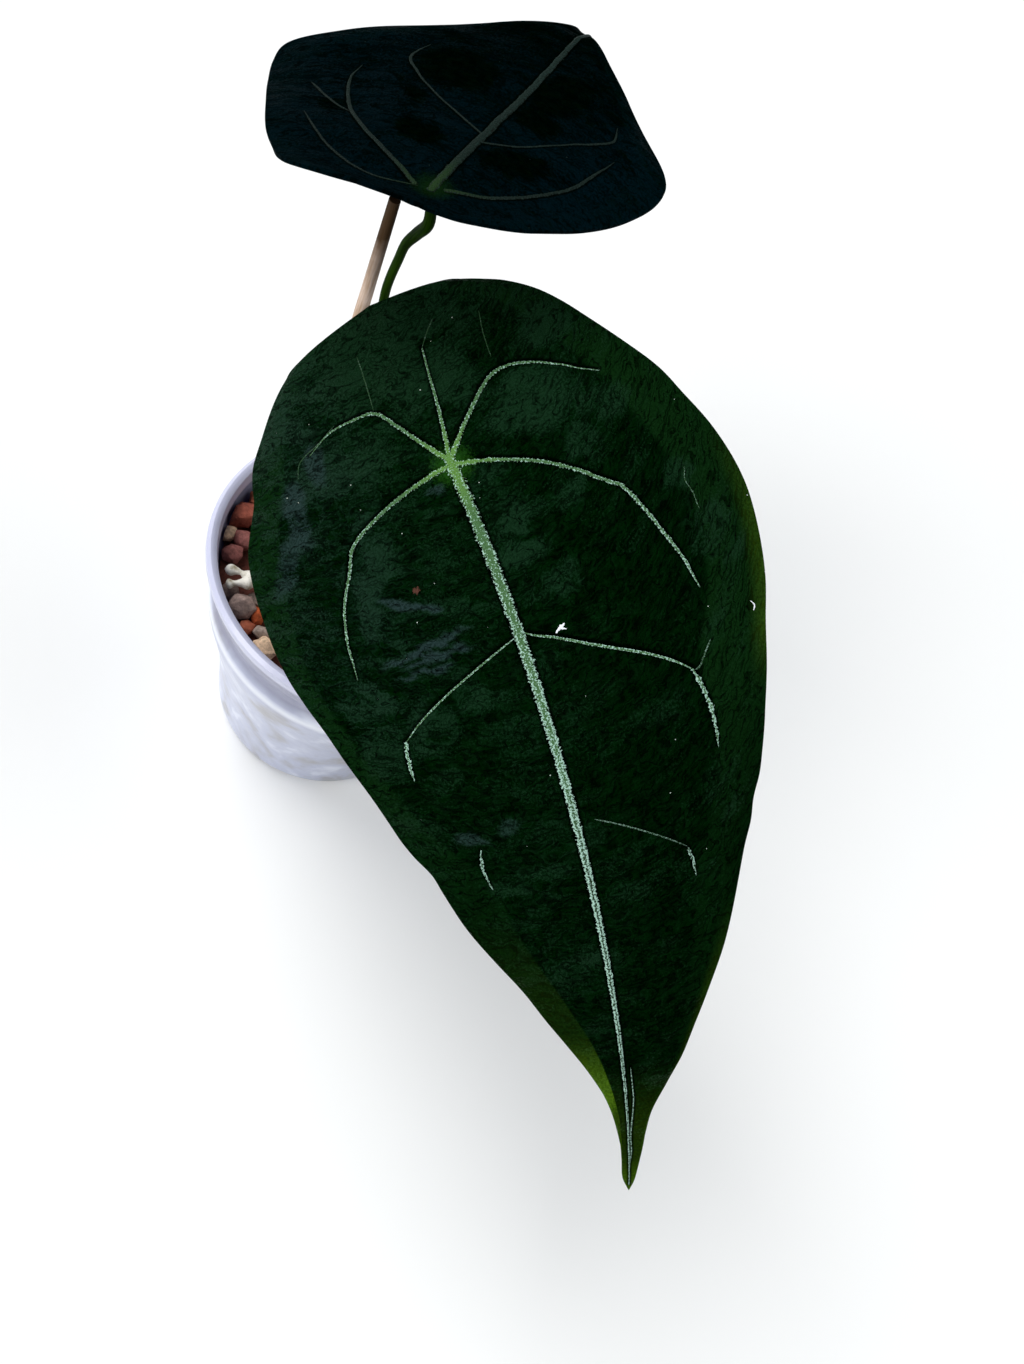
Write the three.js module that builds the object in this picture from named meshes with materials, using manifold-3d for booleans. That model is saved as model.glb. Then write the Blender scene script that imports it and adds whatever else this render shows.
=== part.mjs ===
// Potted anthurium forgetii: frosted plastic pot, clay potting mix, stem with roots,
// two stalked velvet leaves and a thin wooden stake. Millimetres, +Z up.
// The origin is the middle of the pot's flat underside.
import * as THREE from 'three';
import { mergeVertices } from 'three/addons/utils/BufferGeometryUtils.js';
import Module from 'manifold-3d';

const wasm = await Module();
wasm.setup();

const DEG = Math.PI / 180;
const GAP = 0.3;

// Pot: thin wall, wide rolled lip, a shallow groove under it and a soft shoulder
const POT_HEIGHT = 82;
const LIP_RADIUS = 45;
const LIP_INNER_RADIUS = 42.2;
const POT_WALL = 1.2;
const POT_FLOOR = 2.0;
const POT_SIDES = 48;
const DRAIN_COUNT = 6;
const DRAIN_RADIUS = 3.6;
const DRAIN_RING = 22;
const POT_OUTSIDE = [
  [31.0, 0],
  [33.0, 0.9],
  [34.4, 3.2],
  [35.4, 8],
  [36.6, 20],
  [38.4, 36],
  [40.4, 51],
  [41.6, 60.5],
  [41.8, 63.2],
  [41.2, 65.6],
  [41.9, 68.5],
  [43.2, 72.5],
  [44.3, 76.5],
  [44.9, 79.3],
  [LIP_RADIUS, 80.6],
  [44.6, 81.6],
  [43.9, POT_HEIGHT],
];
const POT_LIP_INSIDE = [
  [43.2, 81.9],
  [LIP_INNER_RADIUS, 81.0],
  [41.6, 78],
];

// Potting mix: a packed core with angular clay chunks sunk into its top
const MIX_TOP = 69.5;
const CHUNK_SIZE = [3.9, 5.4];
const CHUNK_RINGS = [
  [38.0, 23],
  [30.6, 18],
  [23.4, 14],
  [16.4, 10],
  [10.2, 6],
];
// Chunks in the gap that the leaf leaves open: place of the middle and size
const FRONT_CHUNKS = [
  [-37.2, -4, 72.4, 4.2],
  [-39.2, -10, 72.6, 4.1],
  [-35.8, -17.6, 71.2, 2.4],
  [-31.5, -20.6, 72, 3.2],
  [-31.6, -15.4, 72.4, 3.5],
  [-24.3, -29.8, 71.2, 2.7],
  [-18.7, -31.3, 72.6, 3.9],
  [-18.2, -27, 71.5, 2.4],
  [-14.4, -30.2, 71.6, 2.7],
  [-14.3, -34.5, 71.3, 2.4],
  [-10.4, -33.3, 71.6, 2.4],
  [-6.6, -36.2, 72.6, 3.8],
];

// Stem: short upright crown with four thick pale roots, two of them a fork in plain view
const STEM_BOTTOM = 48;
const STEM_TOP = 83;
const CROWN_RINGS = [
  [5.2, 70],
  [5.8, 73],
  [5.4, 74.5],
  [6.0, 77],
  [5.5, 78.6],
  [5.7, 81],
];
const ROOT_RADIUS = 1.75;
const ROOT_SIDES = 8;
const ROOTS = [
  [[-3, -1, 74], [-8, -9, 77], [-14, -19, 77], [-19, -24.2, 76.8], [-22.5, -25.3, 76.2],
    [-25.8, -26, 75.8], [-28.6, -27.5, 75.2]],
  [[-17, -22.6, 76.6], [-20.6, -26, 76.2], [-23.2, -28.6, 75.8], [-25.3, -30.9, 75.4]],
  [[-2, 3, 73], [-9, 12, 76.8], [-17, 20, 76.6], [-24, 24, 73], [-27, 26, 68]],
  [[3, -3, 73], [9, -12, 76.6], [13, -22, 75.6], [16, -29, 70]],
];
const KNOB_PITCH = 5.2;
const KNOB_HEIGHT = 0.35;

// Stake: straight round stick, upright
const STAKE_CENTRE = [-26, -1];
const STAKE_BOTTOM = 14;
const STAKE_TOP = 182.4;
const STAKE_RADIUS = 1.5;
const STAKE_TOP_RADIUS = 1.15;
const STAKE_TAPER_FROM = 145;

// Leaf blades: stations run along the midrib from the stalk, minus toward the base edge
const BLADE_THICKNESS = 0.7;
const RIB_HALF_WIDTH = 2.2;
const RIB_RISE = 0.25;
const KEEL_DEPTH = 1.5;
const ACROSS = [0.28, 0.48, 0.68, 0.86, 1];

const FRONT_LEAF = {
  hub: [12.8, -23.2, 160],
  heading: -31.1,
  pitch: -0.3,
  roll: 31,
  base: 42,
  length: 162.5,
  straight: 0,
  droop: 46.5,
  baseDroop: 4,
  sweep: -21.8,
  bendNear: 0.009,
  bendFar: 0.008,
  near: [[-42, 0], [-40, 18.2], [-38, 23.2], [-35, 27.9], [-30, 33.7], [-26, 38], [-22, 40.1], [-17, 41.4],
    [-14, 42.9], [-6, 47.1], [2, 48.9], [10, 49.7], [18, 49.8], [26, 48.7], [34, 46.3], [42, 43.4],
    [50, 41], [58, 38.4], [66, 35.9], [70, 34.5], [74, 32.5], [78, 29.9], [82, 28.5], [90, 25.5],
    [98, 21.6], [106, 17.5], [114, 13.9], [120, 10.6], [126, 7.2], [132, 4.5], [138, 2.7], [144, 1.9],
    [152, 1.6], [158, 1.4], [162.5, 0]],
  far: [[-42, 0], [-40, 14.8], [-38, 19.8], [-36, 23.6], [-34, 27.1], [-30, 32], [-26, 35.5], [-22, 38.4],
    [-14, 43.6], [-6, 47.8], [2, 49.9], [10, 52.3], [18, 53.9], [24, 54.1], [32, 52.8], [40, 50.4],
    [48, 46.8], [56, 43.8], [62, 41.5], [66, 40.1], [70, 38.6], [74, 37], [78, 34.7], [82, 33.1],
    [86, 30.8], [92, 27.9], [102, 23.3], [110, 19.4], [118, 15.9], [126, 12.4], [132, 8.7], [138, 5.2],
    [143, 3.7], [148, 2.8], [154, 1.9], [159, 1.1], [162.5, 0]],
  stalk: 1.25,
  joint: 1.6,
  wave: 1.2,
  waveLength: 47,
  rows: [-42, -41.2, -39.5, -36.5, -32, -26, -19, -12, -6, 0, 6, 12, 19, 26, 33, 40, 47, 54, 61, 66, 70,
    74, 78, 82, 89, 96, 103, 110, 117, 124, 131, 138, 145, 152, 158, 162.5],
};

const BACK_LEAF = {
  hub: [-22.4, 5.2, 185],
  heading: 101,
  pitch: -1,
  roll: -12,
  base: 13,
  length: 118,
  straight: 70.5,
  droop: 84,
  baseDroop: -34.7,
  sweep: -4,
  bendNear: 0.004,
  bendFar: 0.004,
  near: [[-13, 0], [-12, 2], [-11, 4.2], [-9, 8], [-6, 12.2], [-3, 16.9], [0, 21], [5, 25.9], [10, 29.3],
    [20, 34.9], [28, 38], [35, 37.7], [45, 31.8], [60, 19.8], [70, 10.3], [80, 3.2], [92, 1.8],
    [105, 1.3], [113, 0.9], [118, 0]],
  far: [[-13, 0], [-12.8, 9], [-12.2, 16], [-10.4, 23.2], [-7, 28.4], [-3, 32.2], [1, 36], [10, 41.3],
    [20, 46.9], [30, 51.6], [37, 52], [45, 43.4], [60, 29.4], [70, 17.2], [80, 4.6], [92, 2.6],
    [105, 1.5], [113, 0.9], [118, 0]],
  stalk: 1.02,
  joint: 1.25,
  wave: 0.9,
  waveLength: 38,
  rows: [-13, -12.8, -12, -10, -7, -3.5, 0, 5, 10, 16, 22, 28, 34, 40, 46, 52, 58, 64, 68, 72, 76, 80,
    85, 91, 97, 104, 110, 114, 118],
};

// Leaf stalks: from the stem to a swollen joint under each blade
const STALK_SIDES = 10;
const STALK_FOOT_RADIUS = 2.3;
const FRONT_STALK = [
  [2.9, -1.6, 84.2],
  [4.6, -2.6, 92],
  [9.8, -6, 112],
  [15.4, -10.6, 132],
  [17.8, -14.6, 143],
  [16.2, -18.6, 150.5],
];
const BACK_STALK = [
  [-2.9, 1.6, 84.2],
  [-5.4, 2.4, 92],
  [-13.6, 4, 113],
  [-22.6, 6.4, 139],
  [-26.2, 7.8, 153.5],
  [-25.6, 7.6, 164],
  [-24.8, 7, 168.8],
  [-23, 6.6, 173],
];

const POT_PLASTIC = new THREE.MeshStandardMaterial({ color: 0xc9cce0, roughness: 0.42, metalness: 0 });
const CLAY = new THREE.MeshStandardMaterial({ color: 0x7a4a3c, roughness: 0.95, metalness: 0 });
const STEM_TISSUE = new THREE.MeshStandardMaterial({ color: 0xcfc3ae, roughness: 0.75, metalness: 0 });
const STALK_GREEN = new THREE.MeshStandardMaterial({ color: 0x3f5a22, roughness: 0.5, metalness: 0 });
const BLADE_GREEN = new THREE.MeshStandardMaterial({ color: 0x07200f, roughness: 0.55, metalness: 0 });
const BLADE_BLUE_GREEN = new THREE.MeshStandardMaterial({ color: 0x06161b, roughness: 0.5, metalness: 0 });
const STAKE_WOOD = new THREE.MeshStandardMaterial({ color: 0xb4957c, roughness: 0.8, metalness: 0 });

// Repeatable random numbers from a seed
function seeded(seed) {
  let state = seed;
  return () => {
    state = (state * 1664525 + 1013904223) % 4294967296;
    return state / 4294967296;
  };
}

// A closed three.js geometry as a solid for joining and cutting
function solidOf(geometry) {
  const plain = geometry.clone();
  plain.deleteAttribute('normal');
  plain.deleteAttribute('uv');
  const merged = mergeVertices(plain, 1e-4);
  return new wasm.Manifold(new wasm.Mesh({
    numProp: 3,
    vertProperties: new Float32Array(merged.attributes.position.array),
    triVerts: new Uint32Array(merged.index.array),
  }));
}

function geometryOf(solid) {
  const mesh = solid.getMesh();
  const geometry = new THREE.BufferGeometry();
  geometry.setAttribute('position', new THREE.BufferAttribute(new Float32Array(mesh.vertProperties), 3));
  geometry.setIndex(new THREE.BufferAttribute(new Uint32Array(mesh.triVerts), 1));
  return geometry;
}

function piece(name, geometry, material) {
  const faceted = geometry.index ? geometry.toNonIndexed() : geometry;
  faceted.deleteAttribute('uv');
  faceted.computeVertexNormals();
  const mesh = new THREE.Mesh(faceted, material);
  mesh.name = name;
  return mesh;
}

// Turned solid about the upright axis from [radius, height] pairs
function turned(profile, sides) {
  const points = profile.map(([radius, height]) => new THREE.Vector2(radius, height));
  const geometry = new THREE.LatheGeometry(points, sides);
  geometry.rotateX(Math.PI / 2);
  return geometry;
}

// Height above the table where the inside of the pot is met, by radius list
function insideProfile(inset) {
  const wall = POT_OUTSIDE.slice(2, 12).map(([radius, height]) => [radius - POT_WALL - inset, height]);
  const floorRadius = wall[0][0] - 2.4;
  const floor = POT_FLOOR + inset;
  return [[0, floor], [floorRadius, floor], ...wall.filter(([, height]) => height > floor + 1)];
}

function uprightCylinder(radius, bottom, top, x, y, sides) {
  const geometry = new THREE.CylinderGeometry(radius, radius, top - bottom, sides);
  geometry.rotateX(Math.PI / 2);
  geometry.translate(x, y, (top + bottom) / 2);
  return geometry;
}

function buildPot() {
  const inside = insideProfile(0).reverse();
  const shell = turned([[0, 0], ...POT_OUTSIDE, ...POT_LIP_INSIDE, ...inside], POT_SIDES);
  let pot = solidOf(shell);
  for (let hole = 0; hole < DRAIN_COUNT; hole += 1) {
    const angle = (hole + 0.5) * 2 * Math.PI / DRAIN_COUNT;
    const x = DRAIN_RING * Math.cos(angle);
    const y = DRAIN_RING * Math.sin(angle);
    pot = pot.subtract(solidOf(uprightCylinder(DRAIN_RADIUS, -2, POT_FLOOR + 2, x, y, 20)));
  }
  return pot;
}

// Round bar along a smooth path, its radius given by a function of the share and the length run
function roundBar(path, sides, steps, radiusAt) {
  const curve = new THREE.CatmullRomCurve3(path.map((p) => new THREE.Vector3(...p)), false, 'centripetal');
  const length = curve.getLength();
  const frames = curve.computeFrenetFrames(steps, false);
  const positions = [];
  const indices = [];
  for (let step = 0; step <= steps; step += 1) {
    const centre = curve.getPointAt(step / steps);
    const radius = radiusAt(step / steps, length * step / steps);
    for (let side = 0; side < sides; side += 1) {
      const angle = side * 2 * Math.PI / sides;
      const spoke = frames.normals[step].clone().multiplyScalar(Math.cos(angle) * radius);
      spoke.addScaledVector(frames.binormals[step], Math.sin(angle) * radius);
      positions.push(centre.x + spoke.x, centre.y + spoke.y, centre.z + spoke.z);
    }
  }
  for (let step = 0; step < steps; step += 1) {
    for (let side = 0; side < sides; side += 1) {
      const a = step * sides + side;
      const b = step * sides + (side + 1) % sides;
      indices.push(a, b, b + sides, a, b + sides, a + sides);
    }
  }
  const ends = [0, steps * sides];
  for (let side = 1; side < sides - 1; side += 1) {
    indices.push(ends[0], ends[0] + side + 1, ends[0] + side);
    indices.push(ends[1], ends[1] + side, ends[1] + side + 1);
  }
  const geometry = new THREE.BufferGeometry();
  geometry.setAttribute('position', new THREE.Float32BufferAttribute(positions, 3));
  geometry.setIndex(indices);
  return geometry;
}

function rootBar(path, extra) {
  return roundBar(path, ROOT_SIDES, 14, (share, run) => {
    const taper = 1 - 0.4 * share;
    const knob = KNOB_HEIGHT * Math.sin(run * 2 * Math.PI / KNOB_PITCH);
    return ROOT_RADIUS * taper + knob + extra;
  });
}

// Crown with leaf-scar rings; its foot tapers down inside the mix
function crownProfile(extra) {
  const profile = [[0, STEM_BOTTOM - extra], [2.6 + extra, STEM_BOTTOM - extra], [4.6 + extra, 60]];
  for (const [radius, height] of CROWN_RINGS) profile.push([radius + extra, height]);
  profile.push([4.6 + extra, STEM_TOP + extra], [0, STEM_TOP + extra]);
  return profile;
}

function buildStem(extra) {
  let stem = solidOf(turned(crownProfile(extra), 20));
  for (const path of ROOTS) {
    stem = stem.add(solidOf(rootBar(path, extra)));
  }
  return stem;
}

// Angular clay chunk: a knocked-about twenty-sided lump
function chunk(random, radius, x, y, z) {
  const geometry = new THREE.IcosahedronGeometry(radius, 0);
  geometry.deleteAttribute('normal');
  geometry.deleteAttribute('uv');
  const lump = mergeVertices(geometry, 1e-3);
  const corners = lump.attributes.position;
  for (let corner = 0; corner < corners.count; corner += 1) {
    const push = 0.82 + 0.34 * random();
    corners.setX(corner, corners.getX(corner) * push);
    corners.setY(corner, corners.getY(corner) * push);
    corners.setZ(corner, corners.getZ(corner) * push);
  }
  lump.scale(1, 0.78 + 0.3 * random(), 0.7 + 0.25 * random());
  lump.rotateX((random() - 0.5) * 0.9);
  lump.rotateZ(random() * 2 * Math.PI);
  lump.translate(x, y, z);
  return lump;
}

// A place that one of the chunks set by hand already fills
function taken(x, y) {
  return FRONT_CHUNKS.some(([cx, cy, , radius]) => Math.hypot(x - cx, y - cy) < radius + 2.6);
}

function buildMix(stemRoom, stakeRoom) {
  const random = seeded(41);
  const parts = [];
  const core = insideProfile(GAP).filter(([, height]) => height < MIX_TOP - 2);
  const top = core[core.length - 1];
  parts.push(solidOf(turned([...core, [top[0] + 0.4, MIX_TOP], [0, MIX_TOP]], POT_SIDES)));
  for (const [ring, count] of CHUNK_RINGS) {
    const start = random() * 2 * Math.PI;
    for (let place = 0; place < count; place += 1) {
      const angle = start + (place + 0.35 * (random() - 0.5)) * 2 * Math.PI / count;
      const reach = ring + 1.6 * (random() - 0.5);
      const radius = CHUNK_SIZE[0] + (CHUNK_SIZE[1] - CHUNK_SIZE[0]) * random();
      const height = MIX_TOP + 0.6 + 3.2 * random();
      const x = reach * Math.cos(angle);
      const y = reach * Math.sin(angle);
      const lump = chunk(random, radius, x, y, height);
      if (!taken(x, y)) parts.push(solidOf(lump));
    }
  }
  for (const [x, y, z, radius] of FRONT_CHUNKS) {
    parts.push(solidOf(chunk(random, radius, x, y, z)));
  }
  const heap = wasm.Manifold.union(parts);
  const room = insideProfile(GAP);
  const rim = room[room.length - 1];
  const mouth = LIP_INNER_RADIUS - 1.2;
  const walls = [...room, [mouth, rim[1] + 1.2], [mouth, POT_HEIGHT], [0, POT_HEIGHT]];
  const bounds = solidOf(turned(walls, POT_SIDES));
  const cut = heap.intersect(bounds).subtract(stemRoom).subtract(stakeRoom);
  const bodies = cut.decompose();
  bodies.sort((a, b) => b.volume() - a.volume());
  return bodies[0];
}

// Smooth value between [station, value] pairs
function between(pairs, at) {
  const last = pairs.length - 1;
  if (at <= pairs[0][0]) return pairs[0][1];
  if (at >= pairs[last][0]) return pairs[last][1];
  let i = 0;
  while (pairs[i + 1][0] < at) i += 1;
  const slope = (k) => {
    const a = pairs[Math.max(k - 1, 0)];
    const b = pairs[Math.min(k + 1, last)];
    return (b[1] - a[1]) / (b[0] - a[0]);
  };
  const step = pairs[i + 1][0] - pairs[i][0];
  const t = (at - pairs[i][0]) / step;
  const h1 = 2 * t ** 3 - 3 * t ** 2 + 1;
  const h2 = t ** 3 - 2 * t ** 2 + t;
  const h3 = 3 * t ** 2 - 2 * t ** 3;
  const h4 = t ** 3 - t ** 2;
  return h1 * pairs[i][1] + h2 * step * slope(i) + h3 * pairs[i + 1][1] + h4 * step * slope(i + 1);
}

function hubFrame(leaf) {
  const heading = leaf.heading * DEG;
  const pitch = leaf.pitch * DEG;
  const roll = leaf.roll * DEG;
  const along = new THREE.Vector3(
    Math.cos(heading) * Math.cos(pitch),
    Math.sin(heading) * Math.cos(pitch),
    Math.sin(pitch),
  );
  const level = new THREE.Vector3(-Math.sin(heading), Math.cos(heading), 0);
  const lift = new THREE.Vector3().crossVectors(along, level);
  const side = level.multiplyScalar(Math.cos(roll)).addScaledVector(lift, Math.sin(roll));
  const up = new THREE.Vector3().crossVectors(along, side);
  return { along, side, up };
}

// Walks the midrib from the stalk to a station, turning the frame as the blade droops and sweeps
function midribAt(leaf, station) {
  const frame = hubFrame(leaf);
  const centre = new THREE.Vector3(...leaf.hub);
  const steps = Math.max(1, Math.ceil(Math.abs(station)));
  const stride = station / steps;
  for (let step = 0; step < steps; step += 1) {
    const at = (step + 0.5) * stride;
    let droop = at > leaf.straight ? leaf.droop / (leaf.length - leaf.straight) : 0;
    if (at < 0) droop = leaf.baseDroop / leaf.base;
    const down = droop * DEG * stride;
    const across = leaf.sweep * DEG * stride / leaf.length;
    centre.addScaledVector(frame.along.clone().applyAxisAngle(frame.side, down / 2), stride);
    frame.along.applyAxisAngle(frame.side, down);
    frame.up.applyAxisAngle(frame.side, down);
    frame.along.applyAxisAngle(frame.up, across);
    frame.side.applyAxisAngle(frame.up, across);
  }
  return { centre, ...frame };
}

// One row of points across the blade: upper face and lower face
function bladeRow(leaf, station) {
  const { centre, side, up } = midribAt(leaf, station);
  const nearWidth = between(leaf.near, station);
  const farWidth = between(leaf.far, station);
  const rib = Math.max(0, 1 - Math.abs(station) / (station < 0 ? leaf.base : leaf.length));
  const offsets = [];
  for (const share of [...ACROSS].reverse()) offsets.push([-share * nearWidth, share]);
  offsets.push([-Math.min(RIB_HALF_WIDTH, 0.14 * nearWidth), 0]);
  offsets.push([0, 0]);
  offsets.push([Math.min(RIB_HALF_WIDTH, 0.14 * farWidth), 0]);
  for (const share of ACROSS) offsets.push([share * farWidth, share]);
  return offsets.map(([across, share]) => {
    const bend = across > 0 ? leaf.bendFar : leaf.bendNear;
    const fade = Math.min(1, (station + leaf.base) / 20, (leaf.length - station) / 40);
    const phase = across > 0 ? 0.4 : 2.1;
    const swell = Math.sin(station * 2 * Math.PI / leaf.waveLength + phase);
    const ripple = leaf.wave * fade * share ** 3 * swell;
    const point = centre.clone();
    point.addScaledVector(side, Math.sin(bend * across) / bend);
    point.addScaledVector(up, ripple - (1 - Math.cos(bend * across)) / bend);
    const normal = up.clone().applyAxisAngle(leafAxis(side, up), -bend * across);
    const middle = across === 0 ? 1 : 0;
    const upper = point.clone().addScaledVector(normal, middle * RIB_RISE * (0.3 + 0.7 * rib));
    const depth = BLADE_THICKNESS + middle * KEEL_DEPTH * rib;
    const lower = point.clone().addScaledVector(normal, -depth);
    return { upper, lower };
  });
}

function leafAxis(side, up) {
  return new THREE.Vector3().crossVectors(side, up);
}

function buildBlade(leaf) {
  const last = leaf.rows.length - 1;
  const positions = [];
  const upper = [];
  const lower = [];
  const put = (p) => {
    positions.push(p.x, p.y, p.z);
    return positions.length / 3 - 1;
  };
  leaf.rows.forEach((station, row) => {
    const points = bladeRow(leaf, station);
    const middle = (points.length - 1) / 2;
    const kept = row === 0 || row === last ? [points[middle]] : points;
    upper.push(kept.map((p) => put(p.upper)));
    lower.push(kept.map((p) => put(p.lower)));
  });
  const indices = [];
  const tri = (faces, a, b, c) => (faces === upper ? indices.push(a, c, b) : indices.push(a, b, c));
  for (const faces of [upper, lower]) {
    for (let row = 0; row < last; row += 1) {
      const here = faces[row];
      const next = faces[row + 1];
      const columns = Math.max(here.length, next.length) - 1;
      for (let column = 0; column < columns; column += 1) {
        if (here.length === 1) {
          tri(faces, here[0], next[column + 1], next[column]);
        } else if (next.length === 1) {
          tri(faces, here[column], here[column + 1], next[0]);
        } else if (column < columns / 2) {
          tri(faces, here[column], here[column + 1], next[column]);
          tri(faces, here[column + 1], next[column + 1], next[column]);
        } else {
          tri(faces, here[column], here[column + 1], next[column + 1]);
          tri(faces, here[column], next[column + 1], next[column]);
        }
      }
    }
  }
  const edge = (faces) => {
    const one = faces.map((row) => row[0]);
    const other = faces.map((row) => row[row.length - 1]);
    return [...one, ...other.slice(1, -1).reverse()];
  };
  const high = edge(upper);
  const low = edge(lower);
  for (let i = 0; i < high.length; i += 1) {
    const j = (i + 1) % high.length;
    indices.push(high[i], low[j], high[j], high[i], low[i], low[j]);
  }
  const geometry = new THREE.BufferGeometry();
  geometry.setAttribute('position', new THREE.Float32BufferAttribute(positions, 3));
  geometry.setIndex(indices);
  return geometry;
}

// Stalk ends flat just under the blade, square to it
function stalkPath(path, leaf) {
  const { up } = hubFrame(leaf);
  const under = (distance) => new THREE.Vector3(...leaf.hub).addScaledVector(up, -distance).toArray();
  return [...path, under(BLADE_THICKNESS + KEEL_DEPTH + 5), under(BLADE_THICKNESS + KEEL_DEPTH + GAP)];
}

function buildStalk(path, leaf, jointFrom) {
  return roundBar(stalkPath(path, leaf), STALK_SIDES, 30, (share) => {
    const foot = (STALK_FOOT_RADIUS - leaf.stalk) * Math.exp(-share * 11);
    const swell = share > jointFrom ? Math.sin(Math.PI * (share - jointFrom) / (1 - jointFrom)) : 0;
    return leaf.stalk + foot + (leaf.joint - leaf.stalk) * swell;
  });
}

function buildStake() {
  const profile = [
    [0, STAKE_BOTTOM],
    [STAKE_RADIUS, STAKE_BOTTOM],
    [STAKE_RADIUS, STAKE_TAPER_FROM],
    [STAKE_TOP_RADIUS, STAKE_TOP],
    [0, STAKE_TOP],
  ];
  const geometry = turned(profile, 14);
  geometry.translate(STAKE_CENTRE[0], STAKE_CENTRE[1], 0);
  return geometryOf(solidOf(geometry));
}

const stakeRoom = solidOf(uprightCylinder(
  STAKE_RADIUS + GAP, STAKE_BOTTOM - GAP, STAKE_TOP, STAKE_CENTRE[0], STAKE_CENTRE[1], 14,
));

const plant = new THREE.Group();
plant.name = 'potted_anthurium_forgetii';
plant.add(piece('pot', geometryOf(buildPot()), POT_PLASTIC));
plant.add(piece('potting_mix', geometryOf(buildMix(buildStem(GAP), stakeRoom)), CLAY));
plant.add(piece('stem', geometryOf(buildStem(0)), STEM_TISSUE));
plant.add(piece('petiole_front', buildStalk(FRONT_STALK, FRONT_LEAF, 0.84), STALK_GREEN));
plant.add(piece('petiole_back', buildStalk(BACK_STALK, BACK_LEAF, 0.84), STALK_GREEN));
plant.add(piece('leaf_front', buildBlade(FRONT_LEAF), BLADE_GREEN));
plant.add(piece('leaf_back', buildBlade(BACK_LEAF), BLADE_BLUE_GREEN));
plant.add(piece('support_stake', buildStake(), STAKE_WOOD));

export default plant;
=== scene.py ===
"""Looks of the potted anthurium forgetii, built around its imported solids.

Frosted nursery pot, clay mix, knobbly white roots, two stalked velvet leaves and a thin stake.
Sizes below are in millimetres in the pot's own frame (+Z up, origin under the pot) and become
metres when a mesh is placed.
"""
import logging
import math
from dataclasses import dataclass, field
from enum import Enum
from typing import Callable

import bpy
import numpy as np
from mathutils import Matrix, Vector, noise


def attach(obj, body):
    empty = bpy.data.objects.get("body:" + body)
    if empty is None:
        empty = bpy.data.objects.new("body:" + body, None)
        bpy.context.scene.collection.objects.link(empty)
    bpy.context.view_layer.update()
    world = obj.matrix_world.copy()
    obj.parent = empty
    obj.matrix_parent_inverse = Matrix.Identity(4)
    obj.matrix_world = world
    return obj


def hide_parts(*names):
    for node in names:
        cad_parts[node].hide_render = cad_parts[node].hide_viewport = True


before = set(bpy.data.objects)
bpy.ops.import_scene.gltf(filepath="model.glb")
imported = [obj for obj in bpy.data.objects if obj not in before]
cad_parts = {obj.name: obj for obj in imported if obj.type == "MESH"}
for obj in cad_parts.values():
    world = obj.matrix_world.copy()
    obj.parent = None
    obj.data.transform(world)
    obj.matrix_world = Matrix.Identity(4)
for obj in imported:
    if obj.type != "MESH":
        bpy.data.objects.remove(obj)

MM = 0.001
BODY = "root"
PHOTO_WIDTH = 1024
PHOTO_HEIGHT = 1364
SENSOR_MM = 36.0

log = logging.getLogger("anthurium")

Tree = bpy.types.NodeTree
Node = bpy.types.Node
Piece = bpy.types.Object
Array = np.ndarray
Pairs = tuple[tuple[float, float], ...]
Route = tuple[tuple[float, ...], ...]


def linear(hex_colour: str) -> tuple[float, float, float, float]:
    """Turns an sRGB hex colour into the linear values that Blender's sockets take.

    Args:
        hex_colour: six hex digits, with or without a leading hash.

    Returns:
        Red, green, blue and an alpha of one, all linear.
    """
    digits = hex_colour.lstrip("#")
    channels = [int(digits[i:i + 2], 16) / 255 for i in (0, 2, 4)]
    bent = [c / 12.92 if c <= 0.04045 else ((c + 0.055) / 1.055) ** 2.4 for c in channels]
    return (bent[0], bent[1], bent[2], 1.0)


def set_node(tree: Tree, node: Node, settings: dict | None = None, links: dict | None = None) -> None:
    """Gives a node its settings and links.

    Args:
        tree: the node tree that holds the node.
        node: the node.
        settings: property names, or input names and numbers, with their values; an input's hex
            colour is turned linear, "stops" fills a colour ramp from (place, hex colour) pairs,
            and "span" is the pair of values that a Map Range node stretches from.
        links: input names or numbers with what feeds them, an output socket or a node, which
            stands for the first output that it has in use.
    """
    for key, value in (settings or {}).items():
        if key == "stops":
            stops = node.color_ramp.elements
            while len(stops) < len(value):
                stops.new(0.5)
            for stop, (place, colour) in zip(stops, value):
                stop.position = place
                stop.color = linear(colour)
        elif key == "span":
            node.inputs["From Min"].default_value, node.inputs["From Max"].default_value = value
        elif isinstance(key, str) and hasattr(node, key):
            setattr(node, key, value)
        else:
            node.inputs[key].default_value = linear(value) if isinstance(value, str) else value
    for key, source in (links or {}).items():
        if isinstance(source, Node):
            source = next(socket for socket in source.outputs if socket.enabled)
        tree.links.new(source, node.inputs[key])


def add_node(tree: Tree, kind: str, settings: dict | None = None, links: dict | None = None) -> Node:
    """Adds one shader node with its settings and links.

    Args:
        tree: the node tree that takes the node.
        kind: Blender's name of the node type, after "ShaderNode".
        settings: its settings, as set_node takes them.
        links: its links, as set_node takes them.

    Returns:
        The new node.
    """
    node = tree.nodes.new("ShaderNode" + kind)
    set_node(tree, node, settings, links)
    return node


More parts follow.
